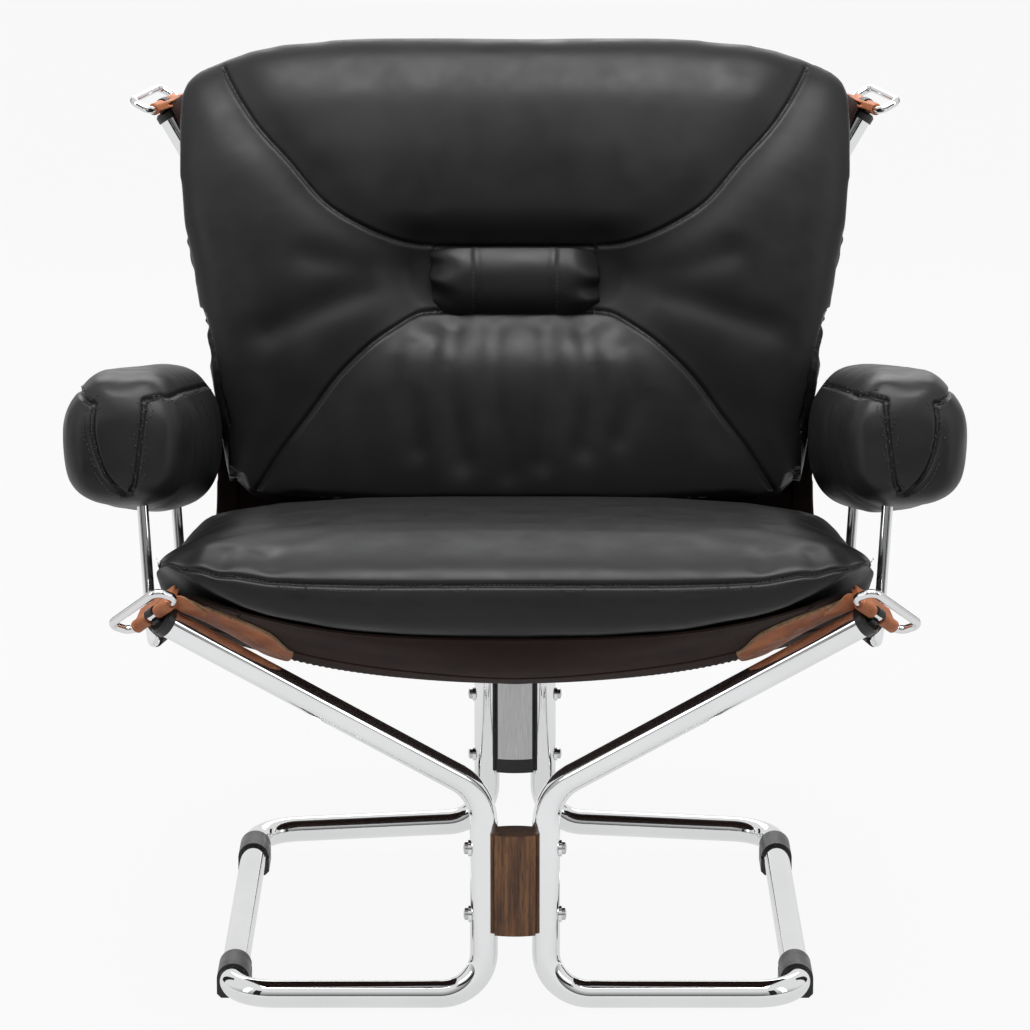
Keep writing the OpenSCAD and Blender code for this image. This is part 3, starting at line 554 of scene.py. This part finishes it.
def curved(points, steps=8):
    """A smooth line through points."""
    made = []
    ends = [points[0], *points, points[-1]]
    for i in range(len(points) - 1):
        a, b, c, d = (Vector(p) for p in ends[i : i + 4])
        for k in range(steps):
            t = k / steps
            made.append(0.5 * (2 * b + (c - a) * t + (2 * a - 5 * b + 4 * c - d) * t**2
                               + (3 * b - a - 3 * c + d) * t**3))
    made.append(Vector(points[-1]))
    return made


thread = moulded("black thread", (0.03, 0.03, 0.031), 0.5, 900)


def beside(laid, offset):
    """A laid line moved sideways over the surface."""
    moved = []
    for (spot, normal), (ahead_spot, _) in zip(laid, laid[1:]):
        run = ahead_spot - spot
        if 0 < run.length < 0.012:
            moved.append((spot + run.normalized().cross(normal) * offset, normal))
    return moved


def stitched(name, body, rows, every=2, length=0.0031, width=0.0008, material=None, slot="black_leather"):
    """Small raised stitches along laid lines, one to every few spots."""
    form = bmesh.new()
    for laid in rows:
        for i in range(0, len(laid) - 1, every):
            spot, normal = laid[i]
            run = laid[i + 1][0] - spot
            trend = laid[min(len(laid) - 1, i + 4)][0] - laid[max(0, i - 3)][0]
            if not 0.0002 < run.length < 0.008 or run.angle(trend, 0) > 0.6:
                continue
            run.normalize()
            side = normal.cross(run).normalized()
            turn = Matrix((run, side, run.cross(side))).transposed().to_4x4()
            size = Matrix.Diagonal((length / 2, width / 2, width / 2, 1))
            at = Matrix.Translation(spot + normal * width * 0.1)
            bmesh.ops.create_icosphere(form, subdivisions=1, radius=1, matrix=at @ turn @ size)
    made = piece_of(form, name, material or thread)
    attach(made, body)
    return made


raw_edge, tree, shader, place = nodes_of("raw leather edge", (0.62, 0.38, 0.2), 0, 0.7)
two_tone(
    tree, spread(tree, speckle(tree, place, 160, 4), 0, 1), shader, (0.45, 0.22, 0.1), (0.72, 0.48, 0.28)
)
relief(tree, shader, [(speckle(tree, place, 700, 3), 0.4, 0.0006)])
pale_thread = moulded("pale thread", (0.62, 0.5, 0.36), 0.6, 900)


def leather_leaf(name, upper, lower, look, lift, thickness, steps=40, across=10, overhang=0.006):
    """A flat leather leaf between two edge lines, laid on the canvas and lifted off it."""
    skin = surface_of(canvas)
    look = Vector(look).normalized()
    form = bmesh.new()
    bmesh.ops.create_grid(form, x_segments=steps, y_segments=across, size=0.5)
    upper = curved(upper, 24)
    lower = curved(lower, 24)
    columns = {}
    for vert in form.verts:
        along, over = vert.co.x + 0.5, vert.co.y + 0.5
        column = columns.get(round(along * (steps + 1)))
        if column is None:
            low, high = (line[min(len(line) - 1, round(along * (len(line) - 1)))] for line in (lower, upper))
            column = []
            for i in range(31):
                hit, normal, _, _ = skin.ray_cast(high.lerp(low, i / 30) - look * 0.08, look, 0.16)
                if column and (hit is None or (hit - column[-1][0]).length > 0.012):
                    past = (low - high) * (1 - i / 30)
                    past *= min(1, overhang / max(past.length, 0.0001))
                    column += [(column[-1][0] + past / 4, column[-1][1]) for _ in range(4)]
                    break
                if hit is not None:
                    column.append((hit, normal if normal.dot(look) < 0 else -normal))
            if not column:
                spot, normal, _, _ = skin.find_nearest(high)
                column.append((spot, normal if normal.dot(look) < 0 else -normal))
            columns[round(along * (steps + 1))] = column
        place = (1 - over) * (len(column) - 1)
        above = column[math.floor(place)]
        below = column[math.ceil(place)]
        hit = above[0].lerp(below[0], place - math.floor(place))
        vert.co = hit + above[1].lerp(below[1], 0.5).normalized() * lift
    bmesh.ops.recalc_face_normals(form, faces=form.faces)
    if sum(face.normal.dot(look) for face in form.faces) > 0:
        bmesh.ops.reverse_faces(form, faces=form.faces)
    evened_out(form, 3, 0.4)
    leaf = piece_of(form, name, tan, raw_edge)
    thick = leaf.modifiers.new("thickness", "SOLIDIFY")
    thick.thickness = thickness
    thick.offset = 1
    thick.material_offset_rim = 1
    thick.use_even_offset = True
    soft = leaf.modifiers.new("soft edge", "BEVEL")
    soft.width = 0.0006
    soft.segments = 2
    soft.limit_method = "ANGLE"
    settle(leaf)
    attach(leaf, "base")
    return leaf


def inner_row(upper, lower, inset):
    """The outline of a leaf, brought in by a share of its width, as one line."""
    pairs = list(zip(curved(upper, 12), curved(lower, 12)))
    top = [a.lerp(b, inset) for a, b in pairs[1:-3]]
    low = [b.lerp(a, inset) for a, b in pairs[1:-3]]
    return top + low[::-1]


from_front = (0, 0.972, -0.235)
from_behind = (0, -0.97, 0.1)
front_y = -0.366


def by_leaf(*places):
    """Points of a front leaf's edge, by x and z."""
    return [(x, front_y, z) for x, z in places]


front_upper = by_leaf(
    (-0.3, 0.433), (-0.265, 0.418), (-0.235, 0.406), (-0.211, 0.394), (-0.2, 0.382), (-0.192, 0.376)
)
front_lower = by_leaf(
    (-0.3, 0.42), (-0.272, 0.407), (-0.245, 0.392), (-0.222, 0.377), (-0.205, 0.368), (-0.195, 0.371)
)
patch_upper = by_leaf((-0.3, 0.434), (-0.284, 0.428), (-0.272, 0.421), (-0.265, 0.415))
patch_lower = by_leaf((-0.3, 0.424), (-0.288, 0.418), (-0.277, 0.414), (-0.267, 0.412))
rear_upper = [
    (-0.322, 0.36, 0.747), (-0.28, 0.36, 0.737), (-0.24, 0.35, 0.727), (-0.21, 0.35, 0.718), (-0.19, 0.35, 0.71)
]
rear_lower = [
    (-0.33, 0.36, 0.715), (-0.29, 0.36, 0.71), (-0.25, 0.35, 0.703), (-0.215, 0.35, 0.702), (-0.195, 0.35, 0.706)
]
leaf_lift = 0.0004
leaf_thickness = 0.0032
patch_lift = 0.0037
patch_thickness = 0.0026
tongue_thread = {"every": 2, "length": 0.0028, "width": 0.0009, "material": pale_thread, "slot": "tan_leather"}
for side, sign in (("left", -1), ("right", 1)):

    def on_side(points):
        return [Vector((sign * p[0], p[1], p[2])) for p in points]

    for end, upper, lower, look, inset in (
        ("front", on_side(front_upper), on_side(front_lower), from_front, 0.2),
        ("rear", on_side(rear_upper), on_side(rear_lower), from_behind, 0.16),
    ):
        leaf = leather_leaf(f"tongue_{end}_{side}", upper, lower, look, leaf_lift, leaf_thickness)
        row = route_on(leaf, inner_row(upper, lower, inset), look)
        stitched(f"tongue_stitches_{end}_{side}", "base", [row], **tongue_thread)
        if end == "front":
            leather_leaf(
                f"patch_front_{side}", on_side(patch_upper), on_side(patch_lower), look,
                patch_lift, patch_thickness, steps=16, across=8,
            )

# Seat cushion: black leather over foam, a top panel and a lower panel that meet in a
# welt seam round the front and the sides. It is blown up by simulation and then sewn.
leather_black = (0.0125, 0.0125, 0.0132)


def soft_leather(name):
    made, tree, shader, place = nodes_of(name, leather_black, 0, 0.4)
    shader.inputs["Specular IOR Level"].default_value = 0.3
    cloud = speckle(tree, place, 16, 4)
    dark, pale = ([c * share for c in leather_black] for share in (0.8, 1.25))
    two_tone(tree, spread(tree, cloud, 0, 1), shader, dark, pale)
    tree.links.new(spread(tree, speckle(tree, place, 34, 4), 0.36, 0.5), shader.inputs["Roughness"])
    pebble = tree.nodes.new("ShaderNodeTexVoronoi")
    pebble.feature = "DISTANCE_TO_EDGE"
    pebble.inputs["Scale"].default_value = 620
    tree.links.new(place, pebble.inputs["Vector"])
    relief(
        tree,
        shader,
        [
            (speckle(tree, place, 14, 2), 0.14, 0.004),
            (speckle(tree, place, 75, 3), 0.05, 0.002),
            (pebble.outputs["Distance"], 0.12, 0.0003),
        ],
    )
    return made


black_leather = soft_leather("black leather")


def outer_skin(node):
    """The outer shell of a hollow CAD node."""
    form = welded(node)
    shells = []
    waiting = set(form.verts)
    while waiting:
        shell = [waiting.pop()]
        for vert in shell:
            for edge in vert.link_edges:
                other = edge.other_vert(vert)
                if other in waiting:
                    waiting.remove(other)
                    shell.append(other)
        shells.append(shell)
    shells.sort(key=lambda s: max(v.co.x for v in s) - min(v.co.x for v in s))
    inner = [vert for shell in shells[:-1] for vert in shell]
    bmesh.ops.delete(form, geom=inner, context="VERTS")
    return form


def eased(share):
    """A share clamped to 0..1, slow at both ends."""
    share = min(1, max(0, share))
    return share * share * (3 - 2 * share)


def near(laid):
    """A lookup of the nearest spot on a laid line."""
    lookup = KDTree(len(laid))
    for i, (spot, _) in enumerate(laid):
        lookup.insert(spot, i)
    lookup.balance()
    return lookup


def pressed(piece, laid, depth, reach, power=1.0):
    """Pulls the piece in along a line by depth, fading over reach."""
    lookup = near(laid)
    mesh = piece.data
    normals = [v.normal.copy() for v in mesh.vertices]
    for vert, normal in zip(mesh.vertices, normals):
        _, _, away = lookup.find(vert.co)
        if away < 3 * reach:
            vert.co -= normal * depth * math.exp(-((away / reach) ** 2) ** power)
    mesh.update()


def puckered(piece, laid, spacing, depth, reach):
    """Gathers the leather beside a seam in small uneven folds that run square to it."""
    lookup = near(laid)
    mesh = piece.data
    normals = [v.normal.copy() for v in mesh.vertices]
    for vert, normal in zip(mesh.vertices, normals):
        _, i, away = lookup.find(vert.co)
        if away < 2.5 * reach:
            along = i * 0.002 / spacing
            wave = math.sin(2 * math.pi * (along + 0.3 * math.sin(1.7 * along)))
            size = 0.65 + 0.35 * math.sin(2.9 * along + 1)
            fade = (away / reach) * math.exp(1 - (away / reach) ** 1.5)
            vert.co += normal * depth * size * (wave - 0.6) * fade
    mesh.update()


def blown(piece, sewn, pressure, cap, frames=16):
    """Blows a piece up by simulation, held along its sewn lines, no point by more than cap."""
    rest = [v.co.copy() for v in piece.data.vertices]
    held = piece.vertex_groups.new(name="sewn")
    for laid in sewn:
        lookup = near(laid)
        for vert in piece.data.vertices:
            if lookup.find(vert.co)[2] < 0.0045:
                held.add([vert.index], 1, "REPLACE")
    cloth = piece.modifiers.new("blow", "CLOTH")
    cloth.settings.quality = 7
    cloth.settings.mass = 0.35
    cloth.settings.bending_stiffness = 12
    cloth.settings.tension_stiffness = 30
    cloth.settings.compression_stiffness = 12
    cloth.settings.use_pressure = True
    cloth.settings.uniform_pressure_force = pressure
    cloth.settings.effector_weights.gravity = 0
    cloth.settings.vertex_group_mass = "sewn"
    cloth.collision_settings.use_self_collision = False
    for number in range(1, frames + 1):
        scene.frame_set(number)
    settle(piece)
    for vert, home in zip(piece.data.vertices, rest):
        move = vert.co - home
        if move.length > cap:
            vert.co = home + move * (cap / move.length)
    scene.frame_set(1)
    piece.vertex_groups.clear()


def kept_in(piece, tree, proud):
    """Brings points back that stand out of the CAD form by more than proud(normal)."""
    for vert in piece.data.vertices:
        spot, normal, _, _ = tree.find_nearest(vert.co)
        out = (vert.co - spot).dot(normal)
        most = proud(normal)
        if out > most:
            vert.co = spot + normal * most
    piece.data.update()


def filled_out(piece, tree, seams, share):
    """Moves points inside the CAD form part of the way out to it, away from the seams."""
    lookups = [near(laid) for laid in seams]
    for vert in piece.data.vertices:
        spot, normal, _, _ = tree.find_nearest(vert.co)
        if (spot - vert.co).dot(normal) > 0:
            away = min(lookup.find(vert.co)[2] for lookup in lookups)
            vert.co += (spot - vert.co) * share * (1 - math.exp(-((away / 0.03) ** 2)))
    piece.data.update()


def peaked(piece, spot, tip, reach):
    """Draws a corner of a cushion out towards a tip."""
    spot = Vector(spot)
    pull = Vector(tip) - spot
    for vert in piece.data.vertices:
        away = (vert.co - spot).length
        if away < reach:
            vert.co += pull * (1 - away / reach) ** 2
    piece.data.update()


def subdivided(piece, levels=1):
    finer = piece.modifiers.new("finer", "SUBSURF")
    finer.levels = levels
    finer.render_levels = levels
    settle(piece)


def finer_along(piece, lines, reach):
    """Splits the squares beside the sewn lines, so that the seams are crisp."""
    form = bmesh.new()
    form.from_mesh(piece.data)
    for laid in lines:
        lookup = near(laid)
        edges = [
            e for e in form.edges
            if lookup.find(e.verts[0].co)[2] < reach and lookup.find(e.verts[1].co)[2] < reach
        ]
        bmesh.ops.subdivide_edges(form, edges=edges, cuts=1, use_grid_fill=True)
    bmesh.ops.triangulate(form, faces=[f for f in form.faces if len(f.verts) > 4])
    form.to_mesh(piece.data)
    form.free()
    piece.data.shade_smooth()


def inset_by(piece, depth):
    normals = [v.normal.copy() for v in piece.data.vertices]
    for vert, normal in zip(piece.data.vertices, normals):
        vert.co -= normal * depth
    piece.data.update()


def sewn_pad(
    name, form, voxel, inset, sunk, lines, pressure, cap, proud, fill, stretch, middle=0, folds=(), gathers=()
):
    """A stuffed leather piece: even mesh, sunk along its seams, blown up, folded and sewn.

    voxel is the mesh size and inset the first step in from the CAD form. pressure and cap
    are for blown, proud for kept_in and fill for filled_out. stretch widens it about middle.
    """
    pad = piece_of(form, name)
    skin = surface_of(pad)
    remeshed(pad, voxel * (1))
    smoothed(pad, 10)
    inset_by(pad, inset)
    for points, look, depth, reach in sunk:
        pressed(pad, route_on(pad, points, look), depth, reach)
    held = [route_on(pad, points, look) for points, look in lines]
    blown(pad, held, pressure, cap)
    filled_out(pad, skin, held, fill)
    smoothed(pad, 12)
    for vert in pad.data.vertices:
        vert.co.x = middle + (vert.co.x - middle) * stretch
    for points, look, depth, reach in folds:
        pressed(pad, route_on(pad, points, look), depth, reach)
    kept_in(pad, skin, proud)
    subdivided(pad)
    seams = [route_on(pad, points, look) for points, look in lines]
    for number, spacing, depth, reach in gathers:
        puckered(pad, seams[number], spacing, depth, reach)
    finer_along(pad, seams, 0.008)
    for laid in seams:
        pressed(pad, laid, 0.0032, 0.0023)
    finer_along(pad, seams, 0.004)
    for laid in seams:
        pressed(pad, laid, 0.0016, 0.0011)
    pad.data.materials.append(black_leather)
    return pad


half_welt = [
    (0.312, -0.335, 0.447), (0.309, -0.358, 0.453), (0.296, -0.374, 0.4525), (0.25, -0.389, 0.4495),
    (0.14, -0.393, 0.4455),
]
seat_welt = curved([(-x, y, z) for x, y, z in half_welt] + [(0, -0.394, 0.4455)] + half_welt[::-1])
seat_side = curved([
    (0.313, -0.335, 0.445), (0.313, -0.3, 0.43), (0.313, -0.15, 0.387), (0.313, 0, 0.345),
    (0.312, 0.1, 0.319), (0.31, 0.16, 0.305), (0.305, 0.2, 0.295),
])


def clear_of_neighbours(normal):
    """A cushion may stand a little proud in front, and not at all where it rests."""
    if normal.z < -0.2 or normal.y > 0.3:
        return -0.0002
    return 0.007 if abs(normal.x) > 0.6 else 0.003


seat_lines = [(seat_welt, None), (seat_side, None), ([Vector((-x, y, z)) for x, y, z in seat_side], None)]
seat_folds = [(-0.272, -0.008), (-0.245, -0.004), (-0.212, 0.004), (0.214, -0.003), (0.25, 0.005), (0.275, 0.008)]
seat = sewn_pad(
    "seat",
    outer_skin("seat_cushion"),
    voxel=0.006,
    inset=0.003,
    sunk=[(points, look, 0.004, 0.014) for points, look in seat_lines],
    lines=seat_lines,
    pressure=2.6,
    cap=0.012,
    proud=clear_of_neighbours,
    fill=0.35,
    stretch=1.012,
    folds=[([(x, -0.34, 0.5), (x + lean, -0.372, 0.5)], (0, 0, -1), 0.0032, 0.009) for x, lean in seat_folds],
)
corner_out = 0.009
corner_lift = 0.013


def sideways(x):
    """How much of the lift of the front corners a point has, by its x."""
    return eased((abs(x) - 0.18) / 0.13)


for vert in seat.data.vertices:
    x, y, z = vert.co
    corner = sideways(x) * eased((-0.16 - y) / 0.18) * eased((z - 0.4) / 0.045)
    vert.co.x += math.copysign(corner_out * corner, x)
    vert.co.z += corner_lift * corner
for sign in (-1, 1):
    peaked(seat, (sign * 0.314, -0.362, 0.463), (sign * 0.318, -0.369, 0.467), 0.03)
lifted_welt = [p + Vector((0, 0, corner_lift * sideways(p.x))) for p in seat_welt]
stitched("seat_stitches", "base", [beside(route_on(seat, lifted_welt, None), 0.003)])
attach(seat, "base")
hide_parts("seat_cushion", "seat_foam")

# Back cushion: four leather panels that run into a short strap at the middle, pulled
# back through the stuffing, with a side strip down each edge.


def over_front(*places):
    """A smooth line on the front of the back cushion, by x and z."""
    return curved([(x, 0, z) for x, z in places])


def mirrored(points):
    return [Vector((-p[0], p[1], p[2])) for p in points]


upper_seam = over_front(
    (-0.291, 0.802), (-0.282, 0.779), (-0.252, 0.739), (-0.218, 0.706), (-0.182, 0.667), (-0.139, 0.641),
    (-0.101, 0.625), (-0.078, 0.622),
)
lower_seam = over_front(
    (-0.078, 0.56), (-0.093, 0.559), (-0.111, 0.551), (-0.137, 0.535), (-0.166, 0.506), (-0.191, 0.471),
    (-0.217, 0.436), (-0.246, 0.39), (-0.251, 0.381),
)
strap_top = [(-0.078, 0, 0.621), (0.078, 0, 0.621)]
strap_low = [(-0.078, 0, 0.56), (0.078, 0, 0.56)]
side_seam = curved([
    (0, 0.329, 0.775), (0, 0.323, 0.756), (0, 0.309, 0.734), (0, 0.303, 0.72), (0, 0.287, 0.667),
    (0, 0.272, 0.62), (0, 0.252, 0.561), (0, 0.245, 0.508), (0, 0.229, 0.38),
])


ahead = (0, 1, 0)
back_lines = [
    (upper_seam, ahead),
    (mirrored(upper_seam), ahead),
    (lower_seam, ahead),
    (mirrored(lower_seam), ahead),
    (strap_top, ahead),
    (strap_low, ahead),
    (side_seam, (-1, 0, 0)),
    (side_seam, (1, 0, 0)),
]
middle_line = [(-0.085, 0, 0.59), (0.085, 0, 0.59)]
back_sunk = [(middle_line, ahead, 0.014, 0.05)]
back_sunk += [(points, look, 0.006, 0.018) for points, look in back_lines[:4]]
back_sunk += [(points, look, 0.003, 0.014) for points, look in back_lines[6:]]
back_folds = [
    (over_front((-0.098, 0.535), (-0.104, 0.5), (-0.094, 0.44)), ahead, 0.004, 0.012),
    (over_front((-0.06, 0.548), (-0.066, 0.5), (-0.05, 0.43)), ahead, 0.005, 0.012),
    (over_front((-0.02, 0.548), (-0.022, 0.5), (-0.006, 0.42)), ahead, 0.0045, 0.012),
    (over_front((0.03, 0.548), (0.034, 0.5), (0.026, 0.43)), ahead, 0.0045, 0.012),
    (over_front((0.066, 0.546), (0.076, 0.5), (0.066, 0.44)), ahead, 0.005, 0.012),
    (over_front((0.102, 0.532), (0.112, 0.49), (0.1, 0.45)), ahead, 0.0035, 0.012),
    (over_front((-0.1, 0.585), (-0.16, 0.58), (-0.235, 0.545)), ahead, 0.005, 0.016),
    (over_front((0.1, 0.585), (0.165, 0.577), (0.24, 0.55)), ahead, 0.005, 0.016),
    (over_front((-0.1, 0.6), (-0.15, 0.608), (-0.205, 0.62)), ahead, 0.003, 0.014),
    (over_front((0.1, 0.6), (0.155, 0.606), (0.21, 0.623)), ahead, 0.003, 0.014),
]
back = sewn_pad(
    "back",
    outer_skin("back_cushion"),
    voxel=0.006,
    inset=0.004,
    sunk=back_sunk,
    lines=back_lines,
    pressure=3.0,
    cap=0.016,
    proud=clear_of_neighbours,
    fill=0.35,
    stretch=1.014,
    folds=back_folds,
    gathers=[(6, 0.021, 0.0024, 0.012), (7, 0.021, 0.0024, 0.012)],
)
foot_wider = 0.013
foot_lower = 0.014
top_higher = 0.007
tuft_deeper = 0.009
tuft_height = 0.59
in_front = [vert.normal.y < 0.2 for vert in back.data.vertices]
for vert, faces_sitter in zip(back.data.vertices, in_front):
    x, y, z = vert.co
    low = eased((0.64 - z) / 0.2)
    vert.co.x += math.copysign(foot_wider * low * eased((abs(x) - 0.12) / 0.13), x)
    vert.co.z -= foot_lower * eased((0.52 - z) / 0.14)
    if faces_sitter:
        vert.co.y += tuft_deeper * math.exp(-((x / 0.12) ** 2) - ((z - tuft_height) / 0.046) ** 2)
back_form = outer_skin("back_cushion")
kept_in(back, BVHTree.FromBMesh(back_form), clear_of_neighbours)
back_form.free()
for vert in back.data.vertices:
    vert.co.z += top_higher * eased((vert.co.z - 0.7) / 0.1)
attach(back, "base")
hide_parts("back_cushion", "back_foam")

strap_half = Vector((0.081, 0.014, 0.0345))
strap_seam = 0.038
tuft = bmesh.new()
bmesh.ops.create_cube(tuft, size=2)
bmesh.ops.subdivide_edges(tuft, edges=tuft.edges, cuts=36, use_grid_fill=True)
hit, _, _, _ = surface_of(back).ray_cast(Vector((0, -1, tuft_height)), Vector((0, 1, 0)))
for vert in tuft.verts:
    a, b, c = vert.co
    from_seam = abs(a) * strap_half.x - strap_seam
    end_part = min(1, max(0, from_seam / 0.002))
    pinch = max(0, (abs(a) - 0.62) / 0.38)
    belly = 0.66 * (1 - 0.85 * abs(c) ** 2.3) * (1 - 0.3 * pinch**2)
    groove = 0.003 * math.exp(-((from_seam / 0.0022) ** 2)) - 0.002 * end_part
    crease = 0.0034 * pinch * math.sin(7 * c + 2.2 * a)
    vert.co = Vector((
        a * strap_half.x * (1 + 0.012 * math.sin(9 * c)),
        hit.y + (b * belly - 0.3) * strap_half.y * 2 + (groove + crease if b < 0 else 0) + 0.012 * pinch**2,
        0.587 + c * strap_half.z * (1 - 0.2 * pinch**2) + 0.0016 * pinch * math.sin(5 * a),
    ))
tuft_strap = piece_of(tuft, "tuft_strap", black_leather)
subdivided(tuft_strap)
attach(tuft_strap, "base")
tuft_rows = [route_on(tuft_strap, [(x, 0, 0.563), (x, 0, 0.615)], ahead) for x in (-0.0405, 0.0405)]
stitched("tuft_stitches", "base", tuft_rows)

# Arms: long padded rolls of the same leather, each sewn round a hidden board that
# sits on a bent chrome rod, with a gore let into the front end.
dress(moulded("sleeve canvas", canvas_brown, 0.7, 600), "arm_sleeve_left", "arm_sleeve_right")
ply, tree, shader, place = nodes_of("plywood", (0.55, 0.4, 0.24), 0, 0.6)
layers = tree.nodes.new("ShaderNodeTexWave")
layers.bands_direction = "Z"
layers.inputs["Scale"].default_value = 110
tree.links.new(place, layers.inputs["Vector"])
two_tone(tree, layers.outputs["Fac"], shader, (0.4, 0.27, 0.15), (0.62, 0.47, 0.3))
relief(tree, shader, [(speckle(tree, place, 300), 0.2, 0.0004)])
dress(ply, "arm_board_left", "arm_board_right")


def hull_of(node):
    form = welded(node)
    made = bmesh.ops.convex_hull(form, input=form.verts)
    bmesh.ops.delete(form, geom=made["geom_interior"], context="VERTS")
    bmesh.ops.dissolve_limit(form, angle_limit=0.001, verts=form.verts, edges=form.edges)
    return form


arm_axis = Vector((0.338, -0.035, 0.486))
arm_slope = math.radians(10.8)


def on_arm(along, x, up):
    """A point by its place along the arm, out from its middle and up, in metres."""
    return arm_axis + Vector((
        x,
        along * math.cos(arm_slope) + up * math.sin(arm_slope),
        -along * math.sin(arm_slope) + up * math.cos(arm_slope),
    ))


def gentle(normal):
    """How far an arm's leather may stand proud: more on the top than at the sides."""
    return 0.009 if normal.z > 0.25 else 0.002


outer_line = curved([
    (0.372, -0.335, 0.598), (0.38, -0.3, 0.593), (0.382, -0.1, 0.557), (0.381, 0.055, 0.527),
    (0.38, 0.14, 0.511), (0.379, 0.205, 0.498), (0.376, 0.24, 0.486), (0.371, 0.258, 0.466),
    (0.365, 0.264, 0.442), (0.36, 0.259, 0.419), (0.355, 0.243, 0.397), (0.35, 0.21, 0.381),
    (0.35, 0.18, 0.378),
])
inner_line = curved(
    [(0.314, -0.332, 0.602), (0.296, -0.318, 0.606), (0.28, -0.29, 0.598)]
    + [tuple(on_arm(along, -0.053, 0.058)) for along in (-0.2, -0.1, 0, 0.1, 0.18, 0.25)]
)
gore_out = curved([(0.372, -0.335, 0.598), (0.368, -0.345, 0.563), (0.355, -0.345, 0.53), (0.332, -0.33, 0.497)])
gore_in = curved([(0.314, -0.332, 0.602), (0.32, -0.345, 0.565), (0.327, -0.345, 0.52), (0.332, -0.33, 0.497)])
roll_corner = 0.058 * 0.075


for side, sign in (("left", 1), ("right", -1)):

    def placed(points):
        return [Vector((sign * p[0], p[1], p[2])) for p in points]

    arm_lines = [(placed(line), None) for line in (outer_line, inner_line, gore_out, gore_in)]
    roll = hull_of(f"arm_pad_{side}")
    for vert in roll.verts:
        middle = arm_axis.z - (vert.co.y - arm_axis.y) * math.tan(arm_slope)
        ahead_share = eased((-0.1 - vert.co.y) / 0.15)
        out, up = vert.co.x - sign * arm_axis.x, vert.co.z - middle
        if up < 0:
            vert.co.z -= up * 0.32 * ahead_share
        else:
            corner = min(1, 4 * abs(out) * up / roll_corner) * ahead_share
            vert.co.x += out * 0.05 * corner
            vert.co.z += up * 0.09 * corner
    arm = sewn_pad(
        f"arm_{side}",
        roll,
        voxel=0.005,
        inset=0.003,
        sunk=[(points, look, 0.003, 0.012) for points, look in arm_lines],
        lines=arm_lines,
        pressure=2.2,
        cap=0.007,
        proud=gentle,
        fill=0.3,
        stretch=1.01,
        middle=sign * arm_axis.x,
    )
    sewn = [route_on(arm, points, look) for points, look in arm_lines]
    rows = [beside(gore, offset) for gore in sewn[2:] for offset in (0.0035, -0.0035)]
    rows += [beside(line, 0.003) for line in sewn[:2]]
    stitched(f"arm_stitches_{side}", f"arm_{side}", rows)
    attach(arm, f"arm_{side}")
    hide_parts(f"arm_pad_{side}")
